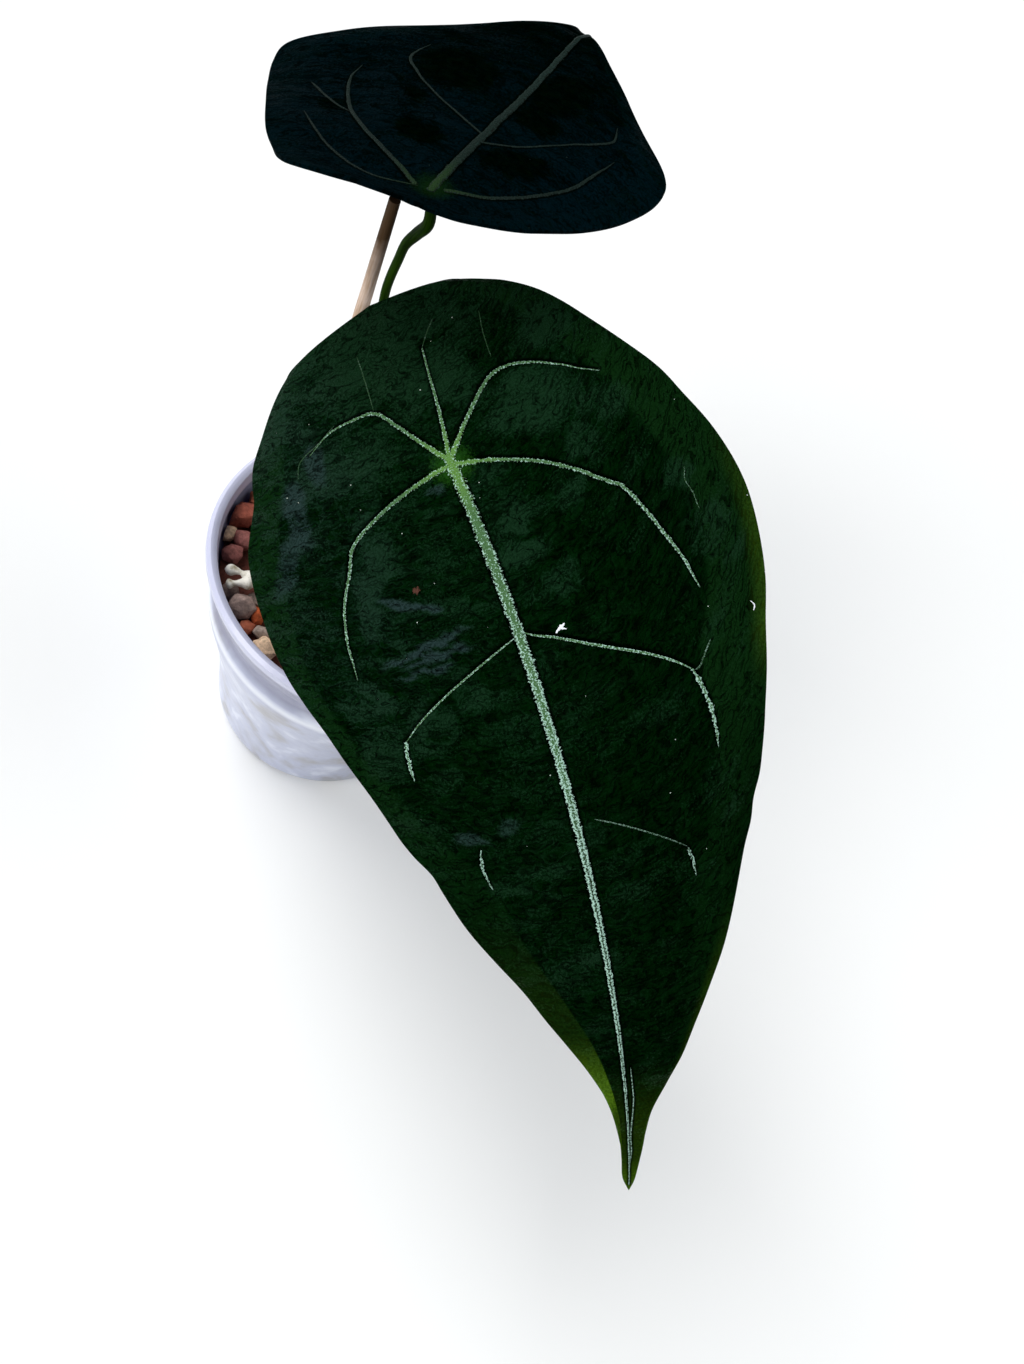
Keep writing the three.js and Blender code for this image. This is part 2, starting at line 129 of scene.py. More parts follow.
def between(pairs: Pairs, at: Array) -> Array:
    """Smooth value between (station, value) pairs, with central slopes.

    Args:
        pairs: stations in rising order with their values.
        at: stations to read.

    Returns:
        The values at those stations.
    """
    x = np.array([pair[0] for pair in pairs], float)
    y = np.array([pair[1] for pair in pairs], float)
    slope = np.empty_like(y)
    slope[1:-1] = (y[2:] - y[:-2]) / (x[2:] - x[:-2])
    slope[0] = (y[1] - y[0]) / (x[1] - x[0])
    slope[-1] = (y[-1] - y[-2]) / (x[-1] - x[-2])
    i = np.clip(np.searchsorted(x, at, side="right") - 1, 0, len(x) - 2)
    step = x[i + 1] - x[i]
    t = np.clip((at - x[i]) / step, 0, 1)
    start = (2 * t ** 3 - 3 * t ** 2 + 1) * y[i] + (t ** 3 - 2 * t ** 2 + t) * step * slope[i]
    end = (3 * t ** 2 - 2 * t ** 3) * y[i + 1] + (t ** 3 - t ** 2) * step * slope[i + 1]
    return start + end


def ease(value: Array, low: float, high: float) -> Array:
    """Smooth step from nought at low to one at high."""
    t = np.clip((value - low) / (high - low), 0, 1)
    return t * t * (3 - 2 * t)


def ripple(x: Array, y: Array, seed: float = 0.0) -> Array:
    """Smooth random relief between about -1 and 1, one unit being its grain.

    Args:
        x: first coordinate in grains.
        y: second coordinate in grains.
        seed: picks another relief.

    Returns:
        One value for each point.
    """
    values = [noise.noise(Vector((a, b, seed))) for a, b in zip(x.tolist(), y.tolist())]
    return np.array(values)


def smooth_path(points: Route, steps: int) -> tuple[Array, float]:
    """Evenly spaced points on a centripetal Catmull-Rom curve.

    Args:
        points: the points that the curve passes through.
        steps: how many equal strides to cut it into.

    Returns:
        The points, one more than the steps, and the curve's length.
    """
    p = np.array(points, float)
    p = np.vstack([2 * p[0] - p[1], p, 2 * p[-1] - p[-2]])
    fine = []
    t = np.linspace(0, 1, 25)[:, None]
    for k in range(1, len(p) - 2):
        gaps = [max(np.linalg.norm(p[k + j] - p[k + j - 1]), 1e-6) ** 0.5 for j in range(3)]
        d0, d1, d2 = gaps
        chord = (p[k + 1] - p[k]) / d1
        m1 = ((p[k] - p[k - 1]) / d0 - (p[k + 1] - p[k - 1]) / (d0 + d1) + chord) * d1
        m2 = (chord - (p[k + 2] - p[k]) / (d1 + d2) + (p[k + 2] - p[k + 1]) / d2) * d1
        span = (2 * t ** 3 - 3 * t ** 2 + 1) * p[k] + (t ** 3 - 2 * t ** 2 + t) * m1
        span = span + (3 * t ** 2 - 2 * t ** 3) * p[k + 1] + (t ** 3 - t ** 2) * m2
        fine.append(span if k == 1 else span[1:])
    line = np.vstack(fine)
    run = np.concatenate([[0], np.cumsum(np.linalg.norm(np.diff(line, axis=0), axis=1))])
    wanted = np.linspace(0, run[-1], steps + 1)
    even = np.stack([np.interp(wanted, run, line[:, c]) for c in range(line.shape[1])], -1)
    return even, float(run[-1])


def deselect() -> None:
    """Leaves object mode with nothing selected."""
    if bpy.context.object and bpy.context.object.mode != "OBJECT":
        bpy.ops.object.mode_set(mode="OBJECT")
    bpy.ops.object.select_all(action="DESELECT")


def choose(piece: Piece) -> None:
    """Makes this the one selected and active object."""
    deselect()
    piece.select_set(True)
    bpy.context.view_layer.objects.active = piece


def apply_modifier(piece: Piece, kind: str, settings: dict) -> None:
    """Adds a modifier and applies it at once.

    Args:
        piece: the object that takes it.
        kind: Blender's name of the modifier type.
        settings: the modifier's properties with their values.
    """
    choose(piece)
    modifier = piece.modifiers.new(kind.title(), kind)
    for key, value in settings.items():
        setattr(modifier, key, value)
    bpy.ops.object.modifier_apply(modifier=modifier.name)


def close_seams(piece: Piece, distance: float) -> None:
    """Merges points closer than a distance in millimetres, then turns all faces outwards."""
    choose(piece)
    bpy.ops.object.mode_set(mode="EDIT")
    bpy.ops.mesh.select_all(action="SELECT")
    bpy.ops.mesh.remove_doubles(threshold=distance * MM)
    bpy.ops.mesh.normals_make_consistent(inside=False)
    bpy.ops.object.mode_set(mode="OBJECT")


def soften(piece: Piece, degrees: float) -> None:
    """Shades a piece smooth, apart from edges sharper than this angle."""
    choose(piece)
    bpy.ops.object.shade_smooth_by_angle(angle=math.radians(degrees))


def points_of(piece: Piece) -> Array:
    """A mesh's points in millimetres, one row each."""
    flat = np.empty(len(piece.data.vertices) * 3)
    piece.data.vertices.foreach_get("co", flat)
    return flat.reshape(-1, 3) / MM


def set_points(piece: Piece, points: Array) -> None:
    """Moves a mesh's points to these places in millimetres."""
    piece.data.vertices.foreach_set("co", (points * MM).ravel())
    piece.data.update()


def drop_maps(piece: Piece) -> None:
    """Removes the UV maps that came with a primitive."""
    while piece.data.uv_layers:
        piece.data.uv_layers.remove(piece.data.uv_layers[0])


def set_map(piece: Piece, name: str, values: Array) -> None:
    """Writes a UV map from one (x, y) pair for each point.

    Args:
        piece: the mesh object.
        name: the map's name.
        values: an array with a row for each point.
    """
    layer = piece.data.uv_layers.get(name) or piece.data.uv_layers.new(name=name)
    corners = np.empty(len(piece.data.loops), int)
    piece.data.loops.foreach_get("vertex_index", corners)
    layer.data.foreach_set("uv", values[corners].ravel())


def set_mask(piece: Piece, name: str, values: Array) -> None:
    """Writes one number for each point as a named attribute."""
    layer = piece.data.attributes.new(name, "FLOAT", "POINT")
    layer.data.foreach_set("value", values)


def read_mask(piece: Piece, name: str) -> Array:
    """Reads a named attribute with one number for each point."""
    values = np.empty(len(piece.data.vertices))
    piece.data.attributes[name].data.foreach_get("value", values)
    return values


def sheet(name: str, across: int, along: int, place: Callable[[Array, Array], Array]) -> Piece:
    """Adds a flat grid and carries each of its points onto a surface.

    Args:
        name: the new object's name.
        across: cells in the first direction.
        along: cells in the second direction.
        place: gives the places in millimetres from two shares between 0 and 1.

    Returns:
        The grid's object.
    """
    deselect()
    bpy.ops.mesh.primitive_grid_add(x_subdivisions=across, y_subdivisions=along, size=2)
    piece = bpy.context.object
    piece.name = name
    piece.data.name = name
    drop_maps(piece)
    flat = points_of(piece) * MM
    set_points(piece, place(flat[:, 0] / 2 + 0.5, flat[:, 1] / 2 + 0.5))
    return piece


def bar(name: str, route: Route, sides: int, steps: int,
        radius_at: Callable[[Array, Array], Array]) -> Piece:
    """Makes a round bar with flat ends along a smooth route.

    Args:
        name: the new object's name.
        route: points in millimetres.
        sides: faces round it.
        steps: strides along it.
        radius_at: radius in millimetres from the share of the way and the length run.

    Returns:
        The bar's object, with a UV map "skin" of millimetres round and along it.
    """
    centres, length = smooth_path(route, steps)
    tangents = np.gradient(centres, axis=0)
    tangents /= np.linalg.norm(tangents, axis=1)[:, None]
    first = np.cross(tangents[0], (0.3, 0.9, 0.1))
    spokes = [first / np.linalg.norm(first)]
    for tangent in tangents[1:]:
        spoke = spokes[-1] - tangent * (spokes[-1] @ tangent)
        spokes.append(spoke / np.linalg.norm(spoke))
    spokes = np.array(spokes)
    others = np.cross(tangents, spokes)
    skin: dict[str, Array] = {}

    def place(around: Array, way: Array) -> Array:
        """Carries the grid round the route; its first and last rows close the ends."""
        row = np.rint(way * (steps + 2)).astype(int)
        station = np.clip(row - 1, 0, steps)
        open_row = (row > 0) & (row < steps + 2)
        share = station / steps
        radius = radius_at(share, share * length)
        angle = around * 2 * math.pi
        skin["map"] = np.stack([angle * radius, share * length], -1)
        spoke = spokes[station] * np.cos(angle)[:, None] + others[station] * np.sin(angle)[:, None]
        return centres[station] + spoke * (radius * open_row)[:, None]

    piece = sheet(name, sides, steps + 2, place)
    set_map(piece, "skin", skin["map"])
    close_seams(piece, 0.004)
    return piece


def join(name: str, pieces: list[Piece]) -> Piece:
    """Joins pieces into one named object."""
    choose(pieces[0])
    for piece in pieces[1:]:
        piece.select_set(True)
    if len(pieces) > 1:
        bpy.ops.object.join()
    pieces[0].name = name
    pieces[0].data.name = name
    return pieces[0]


def hand_over(piece: Piece, finish: "Finish", stands_for: str | None = None) -> None:
    """Gives a piece its material and puts it on the body.

    Args:
        piece: the finished piece.
        finish: its finish, the same all over.
        stands_for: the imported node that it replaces, if any.
    """
    piece.data.materials.clear()
    piece.data.materials.append(finish.material())
    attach(piece, BODY)
    if stands_for:
        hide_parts(stands_for)
    log.info("%s: %d faces", piece.name, len(piece.data.polygons))


@dataclass(frozen=True)
class Finish:
    """A surface finish: its material is made once and shared by the pieces that have it."""

    name: str

    def material(self) -> bpy.types.Material:
        """The finish as a Blender material."""
        made = bpy.data.materials.get(self.name)
        if made:
            return made
        made = bpy.data.materials.new(self.name)
        made.use_nodes = True
        tree = made.node_tree
        tree.nodes.clear()
        shader = add_node(tree, "BsdfPrincipled")
        add_node(tree, "OutputMaterial", links={"Surface": shader})
        self.dress(tree, shader)
        return made

    def dress(self, tree: Tree, shader: Node) -> None:
        """Sets the shader up; each finish does this in its own way."""
        raise NotImplementedError


@dataclass(frozen=True)
class FrostedPolypropylene(Finish):
    """Thin injection-moulded polypropylene: milky, lavender-white, with the mix showing dimly.

    The wall is semi-gloss. Its lip is painted lighter and bluer, a painted reflection; painted
    shade fills the recess under the lip and a painted highlight runs along the shoulder. Smudges
    stretched round the pot show where chunks touch the wall inside.

    Attributes:
        milk: plain wall.
        smudge: where a chunk or its dust lies behind the wall.
        pearl: where nothing does, and light comes through.
        band: painted shade in the recess under the lip.
        lip: the rolled lip, painted lighter and bluer as a painted reflection.
        shoulder: painted highlight along the shoulder under the recess.
        smudge_mm: size of a smudge.
        highlight_rise: heights over which the shoulder's painted highlight comes in.
        highlight_fall: heights over which it goes out again, downwards.
        recess_shade_rise: heights over which the painted shade of the recess starts.
        lip_reflection_rise: heights over which the lip's painted reflection starts.
    """

    milk: str = "b6bbd0"
    smudge: str = "94908c"
    pearl: str = "dfe3f1"
    band: str = "7d7e96"
    lip: str = "c3c5da"
    shoulder: str = "eceff8"
    smudge_mm: float = 15.0
    highlight_rise: tuple[float, float] = (57.6, 59.8)
    highlight_fall: tuple[float, float] = (62.0, 60.4)
    recess_shade_rise: tuple[float, float] = (63.5, 67.0)
    lip_reflection_rise: tuple[float, float] = (75.0, 79.0)

    def dress(self, tree: Tree, shader: Node) -> None:
        """Milky wall marbled by what lies inside, painted shade under the lip, painted highlights."""
        around = add_node(tree, "UVMap", {"uv_map": "wall"})
        marbling = add_node(tree, "TexNoise",
                            {"Scale": 1 / self.smudge_mm, "Detail": 3.0, "Roughness": 0.5,
                             "Distortion": 0.3}, {"Vector": around})
        cloud = add_node(tree, "MapRange",
                         {"span": (0.48, 0.7), "To Max": 0.7, "interpolation_type": "SMOOTHSTEP"},
                         {"Value": marbling})
        bright = add_node(tree, "MapRange",
                          {"span": (0.48, 0.3), "To Max": 0.8, "interpolation_type": "SMOOTHSTEP"},
                          {"Value": marbling})
        pearly = add_node(tree, "Mix", {"data_type": "RGBA", 6: self.milk, 7: self.pearl}, {0: bright})
        height = add_node(tree, "SeparateXYZ", links={0: around})
        swayed = add_node(tree, "Math", {"operation": "MULTIPLY_ADD", 1: 5.0},
                          {0: marbling, 2: height.outputs[1]})
        wall = add_node(tree, "Mix", {"data_type": "RGBA", 7: self.smudge}, {0: cloud, 6: pearly})
        # Painted shade in the recess under the lip.
        above = add_node(tree, "MapRange", {"span": self.recess_shade_rise, "To Max": 0.8}, {"Value": swayed})
        banded = add_node(tree, "Mix", {"data_type": "RGBA", 7: self.band}, {0: above, 6: wall})
        # Painted highlight along the shoulder.
        highlight_in = add_node(tree, "MapRange", {"span": self.highlight_rise}, {"Value": height.outputs[1]})
        under = add_node(tree, "MapRange", {"span": self.highlight_fall, "To Max": 0.75},
                         {"Value": height.outputs[1]})
        painted_highlight = add_node(tree, "Math", {"operation": "MULTIPLY"}, {0: highlight_in, 1: under})
        lined = add_node(tree, "Mix", {"data_type": "RGBA", 7: self.shoulder}, {0: painted_highlight, 6: banded})
        # The lip painted lighter and bluer: a painted reflection.
        rim = add_node(tree, "MapRange", {"span": self.lip_reflection_rise}, {"Value": height.outputs[1]})
        colour = add_node(tree, "Mix", {"data_type": "RGBA", 7: self.lip}, {0: rim, 6: lined})
        wave = add_node(tree, "TexNoise", {"Scale": 0.12, "Detail": 2.0}, {"Vector": around})
        bump = add_node(tree, "Bump", {"Strength": 0.5, "Distance": 0.0012}, {"Height": wave})
        set_node(tree, shader,
                 {"Roughness": 0.28, "IOR": 1.49, "Subsurface Weight": 0.25,
                  "Subsurface Radius": (1.0, 1.0, 1.1), "Subsurface Scale": 0.002},
                 {"Base Color": colour, "Normal": bump})


class Clay(Enum):
    """Colours of fired and dried clay chunks in the mix."""

    RED_BROWN = "96503f"
    MAUVE = "8f5852"
    RUST = "a95c42"
    ORANGE = "b8562c"
    GREY_BROWN = "8c7870"
    DUN = "a8968a"
    TAN = "bfa684"
    PEACH = "dcbc9c"


@dataclass(frozen=True)
class BakedClay(Finish):
    """Baked clay granules, dull and finely pitted, each with its own tone.

    Attributes:
        grain_mm: size of a pit.
    """

    grain_mm: float = 1.1

    def dress(self, tree: Tree, shader: Node) -> None:
        """Chunk tone from the mesh, broken by dust and pits at grain size."""
        tone = add_node(tree, "Attribute", {"attribute_name": "tone"})
        place = add_node(tree, "TexCoord")
        grain = add_node(tree, "TexNoise",
                         {"Scale": 1 / (self.grain_mm * MM), "Detail": 5.0, "Roughness": 0.65},
                         {"Vector": place.outputs["Object"]})
        dust = add_node(tree, "MapRange", {"span": (0.35, 0.7), "To Min": 0.65, "To Max": 1.35},
                        {"Value": grain})
        colour = add_node(tree, "VectorMath", {"operation": "SCALE"},
                          {0: tone.outputs["Color"], "Scale": dust})
        bump = add_node(tree, "Bump", {"Strength": 0.7, "Distance": 0.0004}, {"Height": grain})
        set_node(tree, shader, {"Roughness": 0.82, "Specular IOR Level": 0.3},
                 {"Base Color": colour, "Normal": bump})


@dataclass(frozen=True)
class CorkyRoot(Finish):
    """Thick aerial roots with a spongy white skin, buff in their hollows.

    Attributes:
        skin: white of the skin.
        hollow: buff of its hollows.
        blotches_per_metre: how close the hollows lie, about 2.4 mm apart.
    """

    skin: str = "ebe7dc"
    hollow: str = "9c927a"
    blotches_per_metre: float = 420.0

    def dress(self, tree: Tree, shader: Node) -> None:
        """White skin with buff blotches and a soft uneven surface."""
        place = add_node(tree, "TexCoord")
        blotch = add_node(tree, "TexNoise", {"Scale": self.blotches_per_metre, "Detail": 4.0},
                          {"Vector": place.outputs["Object"]})
        colour = add_node(tree, "ValToRGB", {"stops": ((0.34, self.hollow), (0.56, self.skin))},
                          {"Fac": blotch})
        bump = add_node(tree, "Bump", {"Strength": 0.6, "Distance": 0.0004}, {"Height": blotch})
        set_node(tree, shader, {"Roughness": 0.7}, {"Base Color": colour, "Normal": bump})


@dataclass(frozen=True)
class StalkSkin(Finish):
    """Smooth living stalk: dull green with fine lengthwise lines, and hardly any gloss.

    Attributes:
        deep: green in the lines.
        bright: green between them.
        lines_per_mm: how close the lines lie.
    """

    deep: str = "0d2400"
    bright: str = "203c02"
    lines_per_mm: float = 3.0

    def dress(self, tree: Tree, shader: Node) -> None:
        """Green with lengthwise lines, drawn out along the stalk."""
        skin = add_node(tree, "UVMap", {"uv_map": "skin"})
        drawn = add_node(tree, "Mapping", {"Scale": (self.lines_per_mm, 0.12, 1.0)}, {"Vector": skin})
        line = add_node(tree, "TexNoise", {"Scale": 1.0, "Detail": 3.0}, {"Vector": drawn})
        colour = add_node(tree, "ValToRGB", {"stops": ((0.35, self.deep), (0.65, self.bright))},
                          {"Fac": line})
        bump = add_node(tree, "Bump", {"Strength": 0.3, "Distance": 0.0002}, {"Height": line})
        set_node(tree, shader, {"Roughness": 0.5, "Specular IOR Level": 0.02},
                 {"Base Color": colour, "Normal": bump})


@dataclass(frozen=True)
class StickWood(Finish):
    """Thin debarked stick: pinkish tan low down, with painted olive-brown shade near its top.

    Attributes:
        pale: wood between the grain lines.
        dark: wood in them.
        top_shade: painted shade near the top, under the back leaf.
        lines_per_mm: how close the grain lines lie.
        blotches_per_metre: how close the blotches of the painted shade lie.
        top_shade_rise: heights in metres over which the painted shade comes in.
    """

    pale: str = "dcc6b6"
    dark: str = "bd9f84"
    top_shade: str = "352000"
    lines_per_mm: float = 2.2
    blotches_per_metre: float = 260.0
    top_shade_rise: tuple[float, float] = (0.164, 0.178)

    def dress(self, tree: Tree, shader: Node) -> None:
        """Grain drawn out along the stick, with painted shade that thickens upwards."""
        skin = add_node(tree, "UVMap", {"uv_map": "skin"})
        drawn = add_node(tree, "Mapping", {"Scale": (self.lines_per_mm, 0.14, 1.0)}, {"Vector": skin})
        grain = add_node(tree, "TexNoise", {"Scale": 1.0, "Detail": 4.0}, {"Vector": drawn})
        wood = add_node(tree, "ValToRGB", {"stops": ((0.32, self.dark), (0.62, self.pale))},
                        {"Fac": grain})
        # Painted shade near the top of the stick, where the back leaf hangs over it.
        place = add_node(tree, "TexCoord")
        split = add_node(tree, "SeparateXYZ", links={0: place.outputs["Object"]})
        blotch = add_node(tree, "TexNoise", {"Scale": self.blotches_per_metre, "Detail": 3.0},
                          {"Vector": place.outputs["Object"]})
        rise = add_node(tree, "Math", {"operation": "MULTIPLY_ADD", 1: 0.008},
                        {0: blotch, 2: split.outputs[2]})
        shaded_top = add_node(tree, "MapRange", {"span": self.top_shade_rise, "To Max": 0.97}, {"Value": rise})
        colour = add_node(tree, "Mix", {"data_type": "RGBA", 7: self.top_shade}, {0: shaded_top, 6: wood})
        bump = add_node(tree, "Bump", {"Strength": 0.5, "Distance": 0.0003}, {"Height": grain})
        set_node(tree, shader, {"Roughness": 0.68, "Specular IOR Level": 0.12},
                 {"Base Color": colour, "Normal": bump})


@dataclass(frozen=True)
class VelvetBlade(Finish):
    """Living velvet leaf: papillate skin that drinks the light, near black-green.

    Fine wrinkles run outwards from the midrib and carry a grey-green painted sheen, broken into
    streaks and grains; in a few places it turns slate blue, a painted reflection of the sky. Small
    folds step across it, each with a painted highlight on its crest and painted shade at its foot.
    Beside the veins the skin is painted in shade, near the tip painted light shines yellow-green
    through the margin, and round the hub it glows yellow-green. The real papillae are finer than a
    pixel, so the grain is drawn coarser.

    Attributes:
        deep: ground in its hollows.
        leaf: ground between them.
        sheen_colour: the painted sheen.
        slate: the painted sheen where it turns blue, a painted reflection of the sky.
        band: margin outside the marginal vein.
        young: yellow-green painted light shining through the margin near the tip.
        glow: halo round the hub.
        speck: dust specks.
        dry: the scar.
        shadow: painted shade at the feet of folds, beside a vein and in rings round specks.
        sheen: tint of the gloss where the painted sheen lies.
        grains_per_mm: how close the grain lies.
        wrinkle_mm: distance from wrinkle to wrinkle.
        flake_mm: size of a flake of painted sheen, across the wrinkles and along them.
        folds: folds from the bottom of the crumple to its top.
        scar: its station, offset and radius in millimetres.
        shine: specular level where the painted sheen lies whole.
    """

    deep: str = "000500"
    leaf: str = "021904"
    sheen_colour: str = "102b17"
    slate: str = "233534"
    band: str = "0b250c"
    young: str = "567c18"
    glow: str = "1f4a12"
    speck: str = "b9c6bb"
    dry: str = "54362d"
    shadow: str = "000200"
    sheen: str = "c0dae6"
    grains_per_mm: float = 1.9
    wrinkle_mm: float = 0.6
    flake_mm: tuple[float, float] = (2.6, 7.0)
    folds: float = 8.0
    scar: tuple[float, float, float] = (21.0, -15.5, 0.6)
    shine: float = 0.035

    def dress(self, tree: Tree, shader: Node) -> None:
        """Dark ground, margin, painted sheen, painted light and shade, hub glow, marks."""
        leaf = add_node(tree, "UVMap", {"uv_map": "leaf"})
        flow = add_node(tree, "UVMap", {"uv_map": "flow"})
        grain = add_node(tree, "TexNoise",
                         {"Scale": self.grains_per_mm, "Detail": 3.0, "Roughness": 0.75},
                         {"Vector": leaf})
        drawn = add_node(tree, "Mapping", {"Scale": (1 / self.wrinkle_mm, 0.13 / self.wrinkle_mm, 1.0)},
                         {"Vector": flow})
        streak = add_node(tree, "TexNoise",
                          {"Scale": 1.0, "Detail": 3.0, "Roughness": 0.6, "Distortion": 0.7},
                          {"Vector": drawn})
        sway = add_node(tree, "TexNoise", {"Scale": 0.55, "Detail": 2.0}, {"Vector": leaf})
        swayed = add_node(tree, "VectorMath", {"operation": "MULTIPLY_ADD", 1: (2.2, 2.2, 0.0)},
                          {0: sway.outputs["Color"], 2: flow})
        wide = add_node(tree, "Mapping", {"Scale": (1 / self.flake_mm[0], 1 / self.flake_mm[1], 1.0)},
                        {"Vector": swayed})
        flake = add_node(tree, "TexVoronoi", {"Scale": 1.0, "Randomness": 1.0}, {"Vector": wide})
        lot = add_node(tree, "SeparateColor", links={0: flake.outputs["Color"]})
        mottle = add_node(tree, "TexNoise", {"Scale": 0.4, "Detail": 4.0, "Roughness": 0.6},
                          {"Vector": swayed})
        mixed = add_node(tree, "Math", {"operation": "MULTIPLY_ADD", 1: 0.6}, {0: grain, 2: mottle})
        lined = add_node(tree, "Math", {"operation": "MULTIPLY_ADD", 1: 0.6}, {0: streak, 2: mixed})
        halved = add_node(tree, "Math", {"operation": "MULTIPLY", 1: 0.5}, {0: lined})
        ground = add_node(tree, "ValToRGB", {"stops": ((0.46, self.deep), (0.64, self.leaf))},
                          {"Fac": halved})
        banded = add_node(tree, "Attribute", {"attribute_name": "band"})
        speckled = add_node(tree, "MapRange", {"span": (0.38, 0.56), "To Min": 0.45}, {"Value": grain})
        banding = add_node(tree, "Math", {"operation": "MULTIPLY"},
                           {0: banded.outputs["Fac"], 1: speckled})
        edged = add_node(tree, "Mix", {"data_type": "RGBA", 7: self.band}, {0: banding, 6: ground})
        # Painted sheen, broken up by grain, turning to a painted blue reflection of the sky where cool.
        film = add_node(tree, "Attribute", {"attribute_name": "film"})
        dealt = add_node(tree, "Math", {"operation": "MULTIPLY_ADD", 1: 0.7},
                         {0: lot, 2: film.outputs["Fac"]})
        streaked = add_node(tree, "Math", {"operation": "MULTIPLY_ADD", 1: 0.8}, {0: streak, 2: dealt})
        grained = add_node(tree, "Math", {"operation": "MULTIPLY_ADD", 1: 2.4}, {0: grain, 2: streaked})
        shown = add_node(tree, "MapRange", {"span": (2.2, 3.0)}, {"Value": grained})
        cool = add_node(tree, "Attribute", {"attribute_name": "cool"})
        gloss = add_node(tree, "Mix", {"data_type": "RGBA", 6: self.sheen_colour, 7: self.slate},
                         {0: cool.outputs["Fac"]})
        grain_break = add_node(tree, "MapRange", {"span": (0.42, 0.58), "To Min": 0.45}, {"Value": grain})
        lying = add_node(tree, "Math", {"operation": "MULTIPLY"}, {0: shown, 1: grain_break})
        skin = add_node(tree, "Mix", {"data_type": "RGBA"}, {0: lying, 6: edged, 7: gloss})
        crumpled = add_node(tree, "Mapping", {"Scale": (0.3, 0.12, 1.0)}, {"Vector": swayed})
        crumple = add_node(tree, "TexNoise",
                           {"Scale": 1.0, "Detail": 2.0, "Roughness": 0.5, "Distortion": 0.5},
                           {"Vector": crumpled})
        terraced = add_node(tree, "Math", {"operation": "MULTIPLY", 1: self.folds}, {0: crumple})
        terrace = add_node(tree, "Math", {"operation": "FRACT"}, {0: terraced})
        # Painted highlight in the sheen's colour on each fold's crest, and painted shade at its foot.
        lit = add_node(tree, "MapRange", {"span": (0.8, 0.3), "To Max": 0.95}, {"Value": terrace})
        crest = add_node(tree, "Math", {"operation": "MULTIPLY"}, {0: lit, 1: grain_break})
        strength = add_node(tree, "MapRange", {"span": (0.0, 0.75), "To Min": 0.16},
                            {"Value": film.outputs["Fac"]})
        crested = add_node(tree, "Math", {"operation": "MULTIPLY"}, {0: crest, 1: strength})
        ridged = add_node(tree, "Mix", {"data_type": "RGBA"}, {0: crested, 6: skin, 7: gloss})
        fold_shade = add_node(tree, "MapRange", {"span": (0.34, 0.18), "To Max": 0.95}, {"Value": terrace})
        broken_fold_shade = add_node(tree, "Math", {"operation": "MULTIPLY"}, {0: fold_shade, 1: grain_break})
        fold_shaded = add_node(tree, "Mix", {"data_type": "RGBA", 7: self.shadow}, {0: broken_fold_shade, 6: ridged})
        # Yellow-green painted light shining through the margin.
        young = add_node(tree, "Attribute", {"attribute_name": "young"})
        mottled = add_node(tree, "MapRange", {"span": (0.36, 0.6), "To Min": 0.45}, {"Value": grain})
        lit_through_mottled = add_node(tree, "Math", {"operation": "MULTIPLY"}, {0: young.outputs["Fac"], 1: mottled})
        lit_through_mixed = add_node(tree, "Mix", {"data_type": "RGBA", 7: self.young}, {0: lit_through_mottled, 6: fold_shaded})
        # Painted shade on the skin beside the veins.
        clear = add_node(tree, "Attribute", {"attribute_name": "clear"})
        frayed = add_node(tree, "Math", {"operation": "MULTIPLY_ADD", 1: -1.6},
                          {0: grain, 2: clear.outputs["Fac"]})
        vein_shade = add_node(tree, "MapRange", {"span": (-0.25, -0.7), "To Max": 0.95}, {"Value": frayed})
        vein_shaded = add_node(tree, "Mix", {"data_type": "RGBA", 7: self.shadow}, {0: vein_shade, 6: lit_through_mixed})
        away = add_node(tree, "VectorMath", {"operation": "LENGTH"}, {0: leaf})
        halo = add_node(tree, "Math", {"operation": "MULTIPLY_ADD", 1: -8.0}, {0: grain, 2: away})
        haloed = add_node(tree, "MapRange", {"span": (1.0, -3.4)}, {"Value": halo})
        glowing = add_node(tree, "Mix", {"data_type": "RGBA", 7: self.glow}, {0: haloed, 6: vein_shaded})
        cells = add_node(tree, "TexVoronoi", {"Scale": 0.33, "Randomness": 1.0}, {"Vector": leaf})
        chance = add_node(tree, "SeparateColor", links={0: cells.outputs["Color"]})
        size = add_node(tree, "Math", {"operation": "MULTIPLY_ADD", 1: 0.13, 2: -0.08}, {0: chance})
        rim = add_node(tree, "Math", {"operation": "ADD", 1: 0.035}, {0: size})
        ringed = add_node(tree, "Math", {"operation": "LESS_THAN"},
                          {0: cells.outputs["Distance"], 1: rim})
        dark = add_node(tree, "Mix", {"data_type": "RGBA", 7: self.shadow}, {0: ringed, 6: glowing})
        inside = add_node(tree, "Math", {"operation": "LESS_THAN"},
                          {0: cells.outputs["Distance"], 1: size})
        dusty = add_node(tree, "Mix", {"data_type": "RGBA", 7: self.speck}, {0: inside, 6: dark})
        u, v, radius = self.scar
        off = add_node(tree, "VectorMath", {"operation": "DISTANCE", 1: (u, v, 0.0)}, {0: leaf})
        ragged = add_node(tree, "Math", {"operation": "MULTIPLY_ADD", 1: 2.6}, {0: grain, 2: off})
        scarred = add_node(tree, "MapRange", {"span": (radius + 1.4, radius + 1.2)}, {"Value": ragged})
        colour = add_node(tree, "Mix", {"data_type": "RGBA", 7: self.dry}, {0: scarred, 6: dusty})
        relief = add_node(tree, "Math", {"operation": "MULTIPLY_ADD", 1: 3.0}, {0: crumple, 2: grain})
        bump = add_node(tree, "Bump", {"Strength": 0.8, "Distance": 0.0006}, {"Height": relief})
        flat = add_node(tree, "Math", {"operation": "MULTIPLY_ADD", 1: -self.shine, 2: self.shine},
                        {0: broken_fold_shade})
